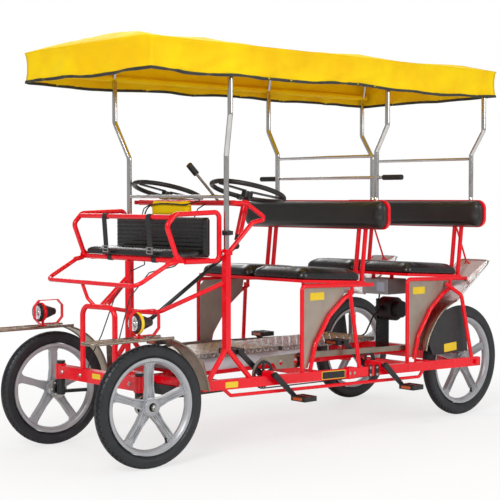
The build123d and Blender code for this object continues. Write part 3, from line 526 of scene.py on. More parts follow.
def wheel_trim(name, where, radius, body, valve_turn):
    rim = radius * rim_share
    black = Shape()
    seal = [(0, 0.0235), (0.0175, 0.0235), (0.0175, 0.0255), (0.014, 0.0275), (0, 0.0275)]
    black.lathe(seal, where, 32)
    turn = Matrix.Rotation(radians(valve_turn), 4, "Z")
    stem = where @ turn @ at((rim - 0.031, 0, 0.004), (-1, 0, 0.18), (0, 1, 0))
    black.lathe([(0, 0), (0.0048, 0), (0.004, 0.016), (0.0034, 0.026), (0, 0.026)], stem, 12)
    black.make(name + "_seal_and_valve", soft_rubber, "rubber", 35, body)
    face = Shape()
    face.lathe([(0.0185, 0.0225), (0.035, 0.0225), (0.0362, 0.024), (0.0362, 0.0275), (0.0345, 0.0292),
                (0.032, 0.0292), (0.031, 0.0278), (0.0265, 0.0278), (0.0255, 0.0294), (0.0215, 0.03),
                (0.0185, 0.0296)], where, 56, True)
    face.make(name + "_face", silver, "silver_cast", 25, body)
    bright = Shape()
    bright.lathe([(0.0, 0.0355), (0.0125, 0.0355), (0.0125, 0.0385), (0.0, 0.0385)], where, 24)
    bright.prism(circle(0.0095, 6), 0.008, where @ Matrix.Translation((0, 0, 0.038)), 0.0012)
    bright.lathe([(0, 0.045), (0.005, 0.045), (0.0044, 0.051), (0, 0.0512)], where, 14)
    bright.lathe([(0, 0.026), (0.0026, 0.026), (0.0022, 0.034), (0, 0.034)], stem, 10)
    bright.make(name + "_nut", bolt_steel, "silver_cast", 35, body)


def wheel_ribs(name, where, radius, body, node, side):
    """Three raised ribs on the outer face of each spoke, at the height found by rays."""
    tree = mesh_tree(nodes[node].data, where.inverted() @ nodes[node].matrix_world)
    down = Vector((0, 0, -1))
    rim = radius * rim_share
    first_r = 0.04
    last_r = rim - 0.022
    steps = 14
    half_rib = 0.0018

    def height(r, angle):
        found = tree.ray_cast(Vector((r * cos(angle), r * sin(angle), 0.08)), down)[0]
        return found.z if found is not None else None

    spokes = [side * radians(90 + 72 * k) for k in range(5)]
    shape = Shape()
    for angle in spokes:
        for lane in (-1, 0, 1):
            rings = []
            for k in range(steps + 1):
                r = first_r + (last_r - first_r) * k / steps
                spot = angle + lane * (0.0088 + 0.004 * k / steps) / r
                z = height(r, spot)
                if z is None:
                    continue
                across = Vector((-sin(spot), cos(spot), 0)) * half_rib
                base = Vector((r * cos(spot), r * sin(spot), z))
                ring = []
                for shift, lift in ((-1.4, -0.0006), (-0.5, 0.003), (0.5, 0.003), (1.4, -0.0006)):
                    ring.append(base + across * shift + Vector((0, 0, lift)))
                rings.append(ring)
            if len(rings) > 2:
                shape.loft(rings, where)
    shape.make(name, silver, "silver_cast", 25, body)


for side, hand in sides:
    for front in (True, False):
        end = "front" if front else "rear"
        where, radius = wheel_place(side, front)
        body = "wheel_" + end + "_" + hand
        tyre(end + "_tyre_" + hand + "_treaded", where, radius, body, end + "_tyre_" + hand)
        wheel_trim(end + "_hub_" + hand, where, radius, body, -62 if side > 0 else 118)
        wheel_ribs(end + "_spoke_ribs_" + hand, where, radius, body, end + "_wheel_" + hand, side)

# Galvanised brake drums inside the front wheels
for side, hand in sides:
    where = wheel_place(side, True)[0]
    drum = Shape()
    drum.lathe([(0.02, -0.0274), (0.0432, -0.0274), (0.0446, -0.03), (0.0446, -0.034), (0.0432, -0.036),
                (0.0432, -0.0495), (0.04, -0.0502), (0.02, -0.0502)], where, 48, True)
    for k in range(6):
        angle = pi * k / 3
        spot = where @ Vector((0.032 * cos(angle), 0.032 * sin(angle), -0.05))
        drum.bolt(spot, where.to_3x3() @ Vector((0, 0, -1)), 0.0045)
    drum.make("front_drum_" + hand, zinc, "silver_cast", 35, "knuckle_" + hand)


def modified(made, name, kind, **settings):
    fresh = made.modifiers.new(name, kind)
    for key, value in settings.items():
        setattr(fresh, key, value)
    return fresh


def subdivided(made):
    modified(made, "finer", "SUBSURF", levels=1, render_levels=1)
    return made


cloth_frames = 20
smooth_rounds = 5


# Padded pieces: a start shape, remeshed evenly, swollen by cloth pressure, capped and subdivided
def puffed(name, shape, voxel, cap, finish, held, keep_in, pressure=4.0):
    made = shape.make(name, finish, None, 0.0, None)
    evenly = modified(made, "even", "REMESH", mode="VOXEL", voxel_size=voxel)
    depsgraph = bpy.context.evaluated_depsgraph_get()
    data = bpy.data.meshes.new_from_object(made.evaluated_get(depsgraph))
    made.modifiers.remove(evenly)
    made.data = data
    if not data.materials:
        data.materials.append(finish)
    start = [v.co.copy() for v in data.vertices]
    group = made.vertex_groups.new(name="held")
    group.add([k for k, p in enumerate(start) if held(p)], 1.0, "REPLACE")
    cloth = made.modifiers.new("swell", "CLOTH")
    settings = cloth.settings
    settings.quality = 5
    settings.mass = 0.3
    settings.tension_stiffness = 15
    settings.compression_stiffness = 15
    settings.bending_stiffness = 0.5
    settings.use_pressure = True
    settings.uniform_pressure_force = pressure
    settings.effector_weights.gravity = 0
    settings.vertex_group_mass = "held"
    for frame_number in range(1, cloth_frames + 1):
        bpy.context.scene.frame_set(frame_number)
    depsgraph = bpy.context.evaluated_depsgraph_get()
    ends = [v.co.copy() for v in made.evaluated_get(depsgraph).data.vertices]
    made.modifiers.remove(cloth)
    bpy.context.scene.frame_set(1)
    for vertex, a, b in zip(data.vertices, start, ends):
        step = b - a
        if step.length > cap:
            step *= cap / step.length
        spot = a + step
        low, high = keep_in
        vertex.co = [min(max(spot[k], low[k]), high[k]) for k in range(3)]
    mesh = bmesh.new()
    mesh.from_mesh(data)
    loose = [v for v in mesh.verts if not held(v.co)]
    for turn in range(smooth_rounds):
        bmesh.ops.smooth_vert(mesh, verts=loose, factor=0.5, use_axis_x=True, use_axis_y=True,
                              use_axis_z=True)
    mesh.to_mesh(data)
    mesh.free()
    data.polygons.foreach_set("use_smooth", [True] * len(data.polygons))
    return subdivided(made)


def copied(source, name, where):
    data = source.data.copy()
    data.transform(where)
    if where.determinant() < 0:
        data.flip_normals()
    return subdivided(linked(name, data))


def seam(name, line, radius, finish, slot, closed=True):
    """A welt along a line of points, as a closed tube."""
    shape = Shape()
    count = len(line)
    rings = []
    for n, p in enumerate(line):
        ahead = line[(n + 1) % count] if closed or n < count - 1 else p
        behind = line[n - 1] if closed or n else p
        step = (ahead - behind).normalized()
        side = step.cross(Vector((0.31, 0.12, 0.94)))
        side.normalize()
        other = step.cross(side)
        rings.append([p + side * x + other * y for x, y in circle(radius, 8)])
    shape.loft(rings, Matrix(), closed)
    return shape.make(name, finish, slot, 60)


def soft_piece(made, node):
    """A padded piece of the chassis that stands in for a CAD node."""
    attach(made, "chassis")
    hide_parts(node)


def welt(name, made, line, gap, radius, finish):
    """A seam along a closed line of points, in even steps and laid into a padded piece's surface."""
    sink = 0.0006
    depsgraph = bpy.context.evaluated_depsgraph_get()
    depsgraph.update()
    tree = BVHTree.FromObject(made, depsgraph)
    found = []
    for n, p in enumerate(line):
        q = line[(n + 1) % len(line)]
        pieces = max(1, round((q - p).length / gap))
        for k in range(pieces):
            spot, normal = tree.find_nearest(p.lerp(q, k / pieces))[:2]
            found.append(spot - normal * sink)
    seam(name, found, radius, finish, "black_vinyl")


def cushion(size, corner, steps, levels, where, corner_share=0.4, deep_share=1.0):
    """A closed form of rounded outlines, each with its height and its inset."""
    wide, deep = size
    rings = []
    for height, inset in levels:
        outline = soft_rect(wide - 2 * inset, deep - 2 * inset * deep_share,
                            corner - inset * corner_share, steps)
        rings.append([(x, y, height) for x, y in outline])
    shape = Shape()
    shape.loft(rings, where)
    return shape


# Seat pads: one is simulated, four copies are shown
bench_tilt = radians(-3.2)
seat_z = 0.752
pad_low = (0.003, 0.0, 0.0006)
pad_high = (0.3716, 0.4246, 0.058)
pad_mid = Vector(((pad_low[0] + pad_high[0]) / 2, 0.2125, 0))
pad_levels = ((0.0008, 0.004), (0.004, 0.001), (0.014, 0.0), (0.028, 0.001), (0.037, 0.006), (0.0435, 0.015),
              (0.0475, 0.03), (0.05, 0.052), (0.0515, 0.085))
pad_shape = cushion((pad_high[0] - pad_low[0] - 0.01, 0.414), 0.038, 7, pad_levels,
                    Matrix.Translation(pad_mid), 0.3)
first_pad = puffed("seat_pad_first", pad_shape, 0.008, 0.0058, black_vinyl, lambda p: p.z < 0.006,
                   (pad_low, pad_high))
for row_y, row in ((-0.109, "front"), (0.636, "rear")):
    for side, hand in sides:
        label = row + "_" + hand
        seat = Matrix.Translation((0, row_y, seat_z)) @ Matrix.Rotation(bench_tilt, 4, "X")
        seat = seat @ Matrix.Scale(side, 4, (1, 0, 0))
        pad = copied(first_pad, "seat_pad_" + label + "_cover", seat)
        soft_piece(pad, "seat_pads")
        line = [seat @ (pad_mid + Vector((x, y, 0.0125))) for x, y in soft_rect(0.361, 0.416, 0.038, 9)]
        welt("seat_welt_" + label, pad, line, 0.012, 0.0019, black_vinyl)
bpy.data.objects.remove(first_pad)

# Backrests: a long crowned pad against the red shell, with a welt round its face
back_low = (-0.4996, -0.0486, 0.9722)
back_high = (0.4996, 0.0, 1.1238)
back_z = 1.048
back_levels = ((0.0, 0.004), (0.006, 0.0), (0.02, 0.0), (0.03, 0.004), (0.0365, 0.01), (0.0405, 0.02),
               (0.0425, 0.034))
back_shape = cushion((0.988, 0.141), 0.044, 8, back_levels, at((0, 0, back_z), (0, -1, 0)), 0.5)
first_back = puffed("backrest_first", back_shape, 0.008, 0.0052, satin_vinyl, lambda p: p.y > -0.004,
                    (back_low, back_high))
for row_y, label in ((0.3478, "front"), (1.0928, "rear")):
    back = copied(first_back, "backrest_" + label + "_cover", Matrix.Translation((0, row_y, 0)))
    soft_piece(back, "backrests")
    line = [Vector((x, row_y - 0.05, back_z + z)) for x, z in soft_rect(0.962, 0.116, 0.036, 9)]
    welt("back_welt_" + label, back, line, 0.014, 0.0016, satin_vinyl)
bpy.data.objects.remove(first_back)

# Child seat: a low crowned pad and a backrest with sewn channels
child_levels = ((0.8745, 0.006), (0.88, 0.001), (0.893, 0.0), (0.9, 0.005), (0.9045, 0.016))
child_shape = cushion((0.644, 0.173), 0.026, 6, child_levels, Matrix.Translation((0, -0.7545, 0)))
child_pad = puffed("child_cushion_cover", child_shape, 0.006, 0.005, black_vinyl, lambda p: p.z < 0.879,
                   ((-0.3258, -0.8448, 0.8736), (0.3258, -0.6642, 0.9118)))
soft_piece(child_pad, "child_cushion")


def channelled():
    """The child backrest: two grids, the front one sewn into channels, joined round their border."""
    low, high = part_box("child_backrest")
    margin = 0.0004
    channels = 9
    pitch = (high.z - low.z - 0.01) / channels
    across, up = 90, 72
    points = []
    for front_face in (True, False):
        for j in range(up + 1):
            z = low.z + margin + (high.z - low.z - 2 * margin) * j / up
            stitch = abs(sin(pi * (z - low.z - 0.005) / pitch)) ** 0.35
            edge_z = min(z - low.z, high.z - z) / 0.016
            for i in range(across + 1):
                x = (i / across * 2 - 1) * (high.x - 0.0006)
                edge_x = (high.x - abs(x)) / 0.022
                corner = 1 - (1 - min(1, edge_x)) ** 2.2 - (1 - min(1, edge_z)) ** 2.2
                fall = sqrt(max(0.0, corner))
                y = high.y - margin - 0.016 * (1 - fall)
                if front_face:
                    pucker = 0.0007 * noise.noise(Vector((x * 45, z * 60, 1.7)))
                    y = low.y + margin + 0.017 * (1 - fall) + (0.0024 * (1 - stitch) + pucker) * fall
                points.append((x, y, z))
    row = across + 1
    size = row * (up + 1)
    faces = grid(across, up)
    faces += [[size + face[k] for k in (0, 3, 2, 1)] for face in faces]
    rim = [row * j + i for i, j in border(across, up)]
    for a, b in zip(rim, rim[1:] + rim[:1]):
        faces.append([a, size + a, size + b, b])
    shape = Shape()
    shape.take(points, faces, Matrix())
    return shape.make("child_backrest_cover", black_vinyl, "black_vinyl", 55)


child_back = channelled()
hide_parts("child_backrest")

# Pouch on the dash: a soft, half filled bag
pouch_low, pouch_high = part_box("dash_pouch")
pouch_x = (pouch_low.x + pouch_high.x) / 2
pouch_y = (pouch_low.y + pouch_high.y) / 2
pouch_levels = ((0.002, 0.008), (0.01, 0.004), (0.036, 0.0035), (0.058, 0.005), (0.068, 0.009),
                (0.0715, 0.014))
pouch_shape = cushion((0.276, 0.0362), 0.013, 6, pouch_levels,
                      Matrix.Translation((pouch_x, pouch_y, pouch_low.z)), deep_share=0.6)
pouch = puffed("dash_pouch_bag", pouch_shape, 0.0045, 0.0035, yellow_cloth,
               lambda p: p.y > pouch_high.y - 0.003,
               (tuple(c + 0.0004 for c in pouch_low), tuple(c - 0.0004 for c in pouch_high)), 3.0)
soft_piece(pouch, "dash_pouch")


# Rolled tread pattern on the platform plates
lozenges = Shape()
lozenge = [(-0.013, 0), (-0.009, 0.0028), (0.009, 0.0028), (0.013, 0), (0.009, -0.0028), (-0.009, -0.0028)]
side_lozenge = [(x * 0.85, y) for x, y in lozenge]
lozenge_step = 0.024
for plate_front, plate_rear, top_z in ((-0.7, -0.062, 0.424), (-0.036, 0.62, 0.42)):
    for j in range(int((plate_rear - plate_front - 0.02) / lozenge_step)):
        y = plate_front + 0.02 + lozenge_step * j
        for i in range(13):
            slant = radians(45 if (i + j) % 2 else -45)
            where = at((-0.15 + 0.025 * i, y, top_z - 0.0001), (0, 0, 1), (cos(slant), sin(slant), 0))
            lozenges.prism(lozenge, 0.0014, where, 0.001)
        slant = radians(45 if j % 2 else -45)
        for side in (1, -1):
            where = at((side * 0.1649, y, top_z - 0.0105), (side, 0, 0), (0, cos(slant), sin(slant)))
            lozenges.prism(side_lozenge, 0.0012, where, 0.0008)
lozenges.make("tread_lozenges", raised_plate, "tread_plate")

# Headlamps: bezel, faceted mirror, bulb holder and clear lens, with a coloured band on the near one
for side, hand in sides:
    where = at((side * 0.357, -1.072, 0.612), (0, -1, 0))
    bezel = Shape()
    bezel.lathe([(0.0345, -0.004), (0.04, -0.004), (0.0412, 0.001), (0.04, 0.0055), (0.0372, 0.0065),
                 (0.0355, 0.0035), (0.0345, 0.001)], where, 48, True)
    bezel.make("lamp_bezel_" + hand, lamp_shell, "black_metal", 40)
    facets = 20
    rings = []
    for radius, height in ((0.00002, 0.0006), (0.01, 0.0008), (0.02, 0.0016), (0.029, 0.003),
                           (0.0348, 0.0046)):
        outline = circle(radius, facets)
        folded = 0.001 if radius > 0.005 else 0.0
        rings.append([(x, y, height + folded * (k % 2)) for k, (x, y) in enumerate(outline)])
    for radius in (0.0348, 0.00002):
        rings.append([(x, y, 0.0002) for x, y in circle(radius, facets)])
    bowl = Shape()
    bowl.loft(rings, where)
    bowl.lathe([(0, 0.001), (0.0085, 0.001), (0.007, 0.005), (0.0, 0.0058)], where, 16)
    bowl.make("lamp_mirror_" + hand, mirror, "chrome", 12)
    lens = Shape()
    lens.lathe([(0, 0.0105), (0.014, 0.01), (0.026, 0.0085), (0.0345, 0.006), (0.0365, 0.0042),
                (0.035, 0.0032), (0.026, 0.0065), (0.014, 0.0082), (0, 0.0087)], where, 48)
    lens.make("lamp_lens_" + hand, clear_glass, "chrome", 60)
    if side > 0:
        band = Shape()
        back = where @ Matrix.Translation((0, 0, -0.021))
        band.lathe([(0.0442, 0.0), (0.0456, 0.0006), (0.0456, 0.0134), (0.0442, 0.014)], back, 48, True)
        band.make("lamp_band_" + hand, yellow_plate, "canopy_fabric", 40)

# The side rails lean outwards and down towards the back: places on them for stickers, plates and bolts
rail_start = -0.7
rail_run = 1.778
rail_lean = 0.13
rail_drop = 0.027
rail_turn = (0, rail_run, -rail_drop)


def rail_out(y):
    return 0.348 + (y - rail_start) / rail_run * rail_lean + 0.0132


def rail_mid(y):
    return 0.312 - (y - rail_start) / rail_run * rail_drop


def rail_face(side):
    return side * rail_run, -rail_lean, 0


def on_rail(side, y, out=0.0, up=0.0):
    """A place on the outer face of a side rail, moved outwards and up."""
    return side * (rail_out(y) + out), y, rail_mid(y) + up


# Blank stickers, the blank name plate and the black joint brackets
stickers = Shape()
sticker_rows = (
    # width, height, corner, thickness, place, facing, width's direction
    (0.06, 0.022, 0.004, 0.0006, (0.0125, -1.016, 0.3515), (0, -1, 0), (1, 0, 0)),
    (0.07, 0.026, 0.004, 0.0006, on_rail(1, -0.545, 0.0, -0.002), rail_face(1), rail_turn),
    (0.07, 0.026, 0.004, 0.0006, on_rail(-1, -0.545, 0.0, -0.002), rail_face(-1), rail_turn),
    (0.094, 0.036, 0.003, 0.0008, (0.3602, 0.002, 0.669), (1, 0, 0), (0, 1, 0)),
    (0.094, 0.036, 0.003, 0.0008, (0.3602, 0.738, 0.661), (1, 0, 0), (0, 1, 0)),
    (0.1, 0.042, 0.003, 0.0008, (0.42825, 0.908, 0.366), (1, 0, 0), (0, 1, 0.06)),
)
for wide, tall, corner, thick, spot, facing, along in sticker_rows:
    stickers.prism(soft_rect(wide, tall, corner), thick, at(spot, facing, along))
stickers.make("blank_stickers", yellow_plate, "canopy_fabric")
plate_y = 0.056
rim_plate = Shape()
rim_plate.prism(soft_rect(0.146, 0.038, 0.004), 0.0012,
                at(on_rail(1, plate_y), rail_face(1), rail_turn), 0.0004)
rim_plate.make("name_plate_rim", yellow_plate, "canopy_fabric")
dark_plates = Shape()
dark_plates.prism(soft_rect(0.14, 0.032, 0.003), 0.0006,
                  at(on_rail(1, plate_y, 0.0012), rail_face(1), rail_turn))
for side in (1, -1):
    for y, wide in ((0.292, 0.02), (0.334, 0.026)):
        where = at(on_rail(side, y), rail_face(side), (0, 1, -0.015))
        dark_plates.prism(soft_rect(wide, 0.062, 0.003), 0.0045, where, 0.001)
dark_plates.make("dark_plates", black_steel, "black_metal")

# Visible bolts on the frame, the posts and the wheel panels
bolts = Shape()
for side in (1, -1):
    outwards = (side, 0, 0)
    for y in (0.29, 0.334):
        for up in (0.017, -0.017):
            bolts.bolt(on_rail(side, y, 0.0045, up), rail_face(side), 0.0058)
    for y in (0.155, 0.185):
        bolts.bolt(on_rail(side, y, 0.005), rail_face(side), 0.0062)
    bolts.bolt((side * 0.364, -0.556, 0.884), outwards, 0.0062)
    bolts.bolt((side * 0.35, -0.5755, 0.884), (0, -1, 0), 0.0058)
    for y, z in ((0.8, 0.352), (1.036, 0.352), (0.99, 0.548), (0.868, 0.556)):
        bolts.bolt((side * 0.4282, y, z), outwards, 0.0048)
    for y, z in ((0.425, 1.335), (1.17, 1.335), (-0.556, 1.136)):
        bolts.bolt((side * 0.362, y, z), outwards, 0.0055)
    for y in (-0.105, 0.64):
        bolts.bolt((side * 0.378, y, 0.716), outwards, 0.005)
    for x in (0.11, 0.25):
        bolts.bolt((side * x, -1.016, 0.345), (0, -1, 0), 0.007)
bolts.make("frame_bolts", bolt_steel, "chrome")

# Clamps at the feet of the front posts, and the side knob of the child seat
clamps = Shape()
for side in (1, -1):
    clamps.lathe([(0.0122, 0.0), (0.0185, 0.0), (0.0195, 0.002), (0.0195, 0.02), (0.0185, 0.022),
                  (0.0122, 0.022)], at((side * 0.35, -0.556, 0.966)), 28, True)
    lug = at((side * 0.366, -0.56, 0.977), (side, -0.2, 0), (0, 1, 0))
    clamps.prism(soft_rect(0.03, 0.018, 0.003), 0.02, lug, 0.002)
clamps.lathe([(0, 0), (0.009, 0), (0.01, 0.003), (0.015, 0.006), (0.016, 0.014), (0.012, 0.022), (0, 0.024)],
             at((-0.3512, -0.612, 0.909), (-1, 0, 0)), 20)
clamps.make("post_clamps_and_knob", plastic, "black_plastic", 35)

# Strap loops round the bars, and their buckles
loops = Shape()
buckles = Shape()
strap_slope = Vector((0, 0.013, -0.158)).normalized()
strap_out = Vector((0, -1, -0.082)).normalized()
loop_inside = 0.0114
loop_outside = loop_inside + 0.0022
for x in (-0.132, 0.188):
    for y, z in ((-0.852, 1.048), (-0.826, 0.862)):
        loops.lathe([(loop_inside, 0.0), (loop_outside, 0.0), (loop_outside, 0.03), (loop_inside, 0.03)],
                    at((x - 0.015, y, z), (1, 0, 0), (0, 1, 0)), 28, True)
    spot = Vector((x, -0.8545, 0.902)) + strap_out * 0.0021
    for dx in (-0.0185, 0.0185):
        where = at(spot + Vector((dx, 0, 0)), strap_out)
        buckles.prism(soft_rect(0.004, 0.03, 0.0015), 0.003, where, 0.0006)
    for dz in (-0.0135, 0.0, 0.0135):
        buckles.prism(soft_rect(0.04, 0.004, 0.0015), 0.003, at(spot - strap_slope * dz, strap_out), 0.0006)
loops.make("strap_loops", webbing, "webbing")
buckles.make("strap_buckles", bolt_steel, "chrome")

# Reflectors on the pedals
swing = radians(-41.0)
crank_length = 0.165
crank_lift = 0.026
crank_rows = {"front": -0.325, "rear": 0.362}
for row, row_y in crank_rows.items():
    for side, hand in sides:
        shape = Shape()
        for arm_x, sign in ((rail_out(row_y) - 0.0132 + 0.046, 1), (0.319, -1)):
            y = row_y + sign * crank_length * cos(swing)
            z = rail_mid(row_y) + crank_lift + sign * crank_length * sin(swing)
            middle_x = side * (arm_x + sign * 0.055)
            for end in (1, -1):
                where = at((middle_x, y + end * 0.0395, z), (0, end, 0))
                shape.prism(soft_rect(0.058, 0.013, 0.003), 0.0035, where, 0.001)
        hold = row + "_" + hand
        shape.make("pedal_reflectors_" + hold, amber, "canopy_fabric", 30, "cranks_" + hold)


# Roller chains in place of the plain bands
def chain(name, side):
    radius = 0.06525
    y1, y2 = crank_rows.values()
    z1, z2 = rail_mid(y1) + crank_lift, rail_mid(y2) + crank_lift
    slant = atan2(z2 - z1, y2 - y1)
    run = hypot(y2 - y1, z2 - z1)
    half_way = run + pi * radius
    total = 2 * half_way
    count = round(total / 0.0127)
    along = Vector((0, cos(slant), sin(slant)))
    up = Vector((0, -sin(slant), cos(slant)))
    start = Vector((side * 0.341, y1, z1))

    def point(distance):
        lap, rest = divmod(distance, half_way)
        turn = max(0.0, rest - run) / radius
        step = along * (min(rest, run) + radius * sin(turn)) + up * (radius * cos(turn))
        return start + along * run - step if lap % 2 else start + step

    shape = Shape()
    step = total / count
    upper = [(0.0084, 0.0031), (0.0042, 0.0024), (0, 0.0017), (-0.0042, 0.0024), (-0.0084, 0.0031)]
    outline = [(0.0105, 0.0012)] + upper + [(-0.0105, 0.0012), (-0.0105, -0.0012)]
    outline += [(x, -y) for x, y in reversed(upper)] + [(0.0105, -0.0012)]
    for k in range(count):
        a = point(k * step)
        b = point((k + 1) * step)
        wide = 0.0022 if k % 2 else 0.0012
        for away in (1, -1):
            spot = (a + b) / 2 + Vector((away * wide, 0, 0))
            shape.prism(outline, 0.0009, at(spot, (away, 0, 0), b - a))
        pin = [(0, -0.003), (0.0021, -0.003), (0.0021, 0.003), (0, 0.003)]
        shape.lathe(pin, at(a, (1, 0, 0), b - a), 8)
    made = shape.make(name, black_steel, "black_metal")
    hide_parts("chains")


chain("chain_left", 1)
chain("chain_right", -1)

# Welded ends of the foot rest's arms, on the gussets of the basket
welds = Shape()
for side in (1, -1):
    start = Vector((side * 0.3375, -0.884, 0.8478))
    step = Vector((side * 0.339, -0.834, 0.8565)) - start
    long = step.length
    welds.lathe([(0, 0), (0.0096, 0), (0.0112, 0.006), (0.0112, long - 0.006), (0.009, long), (0, long)],
                at(start, step), 20)
welds.make("foot_rest_welds", red, "red_paint", 40)


# Cables: one across the pouch and two from the motor
def cable(name, spots, radius):
    spots = [Vector(p) for p in spots]
    spots = [spots[0] * 2 - spots[1]] + spots + [spots[-1] * 2 - spots[-2]]
    line = []
    for a, b, c, d in zip(spots, spots[1:], spots[2:], spots[3:]):
        for k in range(8):
            t = k / 8
            line.append(0.5 * (2 * b + (c - a) * t + (2 * a - 5 * b + 4 * c - d) * t * t
                               + (3 * b - a - 3 * c + d) * t * t * t))
    line.append(spots[-2])
    seam(name, line, radius, soft_rubber, "rubber", False)


cable("dash_cable", ((-0.25, -0.548, 1.02), (-0.222, -0.557, 1.066), (-0.185, -0.5585, 1.094),
                     (-0.11, -0.559, 1.103), (-0.02, -0.559, 1.102), (0.055, -0.557, 1.099),
                     (0.105, -0.549, 1.107), (0.15, -0.54, 1.118)), 0.0034)
cable("motor_cable_upper", ((0.062, 0.792, 0.548), (0.07, 0.752, 0.54), (0.095, 0.716, 0.566),
                            (0.118, 0.706, 0.606), (0.122, 0.708, 0.638)), 0.0042)
cable("motor_cable_lower", ((0.052, 0.792, 0.538), (0.046, 0.748, 0.512), (0.052, 0.704, 0.462),
                            (0.06, 0.664, 0.424), (0.062, 0.618, 0.411)), 0.0042)

# Control box: lid, blank label, screws and two cable glands
box_low, box_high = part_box("control_box")
box_x, box_y, box_z = 0.1475, 0.715, 0.6755
lid_thick = 0.0014
lid = Shape()
for spot, facing, along in (((box_high.x, box_y, box_z), (1, 0, 0), (0, 1, 0)),
                            ((box_x, box_low.y, box_z), (0, -1, 0), (1, 0, 0))):
    lid.prism(soft_rect(0.15, 0.064, 0.003), lid_thick, at(spot, facing, along), 0.0005)
lid.make("control_box_lid", box_silver, "grey_case")
blank = Shape()
blank.prism(soft_rect(0.052, 0.046, 0.002), 0.0005, at((0.19, box_low.y - lid_thick, box_z), (0, -1, 0)))
blank.make("control_box_blank_label", label_blue, "grey_case")
screws = Shape()
lid_x = box_high.x + lid_thick
for across in (-0.066, 0.066):
    for up in (-0.026, 0.026):
        screws.bolt((lid_x, box_y + across, box_z + up), (1, 0, 0), 0.0026)
        screws.bolt((box_x + across, box_low.y - lid_thick, box_z + up), (0, -1, 0), 0.0026)
for y in (0.69, 0.722):
    screws.lathe([(0, 0), (0.008, 0), (0.008, 0.004), (0.0055, 0.01), (0, 0.011)],
                 at((lid_x, y, 0.684), (1, 0, 0)), 16)
screws.make("control_box_screws", bolt_steel, "chrome")

# Canopy: one sheet with a ridge, sags between its hoops and a rippled valance
canopy_low, canopy_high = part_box("canopy")
half = canopy_high.x
front = canopy_low.y
rear = canopy_high.y
# Where the frame's hoops stand along the vehicle
hoops = (-1.023, -0.592, 0.425, 1.17, rear)


def smooth_step(a, b, v):
    t = max(0.0, min(1.0, (v - a) / (b - a)))
    return t * t * (3 - 2 * t)


def ruffle(along, scale, seed):
    return noise.noise(Vector((along * scale, seed, 0.37)))


def crease(along, lean, scale, seed):
    """A sharp-backed fold, 1 on its line and falling away at both sides."""
    return max(0.0, 1.0 - 5.0 * abs(noise.noise(Vector((along * scale + lean, seed, 0.81)))))


roof_tree = mesh_tree(nodes["canopy"].data, nodes["canopy"].matrix_world)


def roof_z(x, y):
    """The modelled roof's height, with a sag between the hoops and none over them."""
    inner_x = max(-half + 0.002, min(half - 0.002, x))
    inner_y = max(front + 0.002, min(rear - 0.002, y))
    crown = roof_tree.ray_cast(Vector((inner_x, inner_y, 3.0)), Vector((0, 0, -1)))[0].z - 0.0012
    across = abs(x) / half
    free = 0.0
    for a, b in zip(hoops[:-1], hoops[1:]):
        if a <= y <= b:
            free = sin(pi * (y - a) / (b - a)) * min(1.0, (b - a) / 0.7)
    sag = 0.014 * free * (1 - across ** 3)
    wrinkle = 0.0035 * ruffle(y + x * 0.6, 7.0, 3.1) + 0.003 * ruffle(y - x * 1.4, 11.0, 8.3) - 0.0035
    return crown - sag + wrinkle * (1 - across ** 4) * min(1.0, 2.5 * free)


def make_canopy():
    """The roof's grid with a skirt below its border, and the skirt's lower edge with its upward directions."""
    across, along, drop = 40, 96, 9
    points = []
    for j in range(along + 1):
        y = front + (rear - front) * j / along
        for i in range(across + 1):
            x = -half + 2 * half * i / across
            points.append(Vector((x, y, roof_z(x, y))))
    faces = grid(across, along)
    columns = []
    travelled = 0.0
    for i, j in border(across, along):
        column = [j * (across + 1) + i]
        base = points[column[0]]
        if columns:
            travelled += (base - points[columns[-1][0]]).length
        out = Vector(((i == across) - (i == 0), (j == along) - (j == 0), 0)).normalized()
        corner = min(abs(base.x + half), abs(base.x - half)) + min(abs(base.y - front), abs(base.y - rear))
        calm = smooth_step(0.0, 0.12, corner)
        low = canopy_low.z + 0.01 + 0.014 * ruffle(travelled, 2.1, 5.0) + 0.006 * ruffle(travelled, 6.3, 1.0)
        for k in range(1, drop + 1):
            t = k / drop
            swell = 0.008 * ruffle(travelled, 5.0, 2.0) + 0.006 * ruffle(travelled + 0.25 * t, 12.0, 4.0)
            swell += 0.014 * (crease(travelled, 1.6 * t, 3.4, 6.0) - 0.3)
            swell += 0.007 * (crease(travelled, -1.2 * t, 7.0, 9.0) - 0.3)
            shift = out * (swell * t * calm - 0.008 * sin(pi * t) - 0.004)
            column.append(len(points))
            points.append(Vector((base.x, base.y, base.z + (low - base.z) * t)) + shift)
        columns.append(column)
    for here, there in zip(columns, columns[1:] + columns[:1]):
        for k in range(drop):
            faces.append([here[k], here[k + 1], there[k + 1], there[k]])
    sheet = mesh_object("canopy_sheet", points, faces, yellow_cloth)
    edge = [points[column[-1]] for column in columns]
    ups = [(points[column[-2]] - points[column[-1]]).normalized() for column in columns]
    return sheet, edge, ups


canopy_sheet, edge, edge_ups = make_canopy()
sleeves = Shape()
for x in (-0.432, 0.432):
    rings = []
    for k in range(61):
        y = front + 0.03 + (rear - front - 0.06) * k / 60
        radius = 0.0142 + 0.0008 * ruffle(y, 7.0, x)
        rings.append([(x + a, y, 1.7 + b) for a, b in circle(radius, 16)])
    sleeves.loft(rings)
sleeves.make("canopy_bar_sleeves", yellow_cloth, "canopy_fabric", 60)
modified(canopy_sheet, "skin", "SOLIDIFY", thickness=0.0014)
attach(canopy_sheet, "chassis")
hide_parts("canopy")


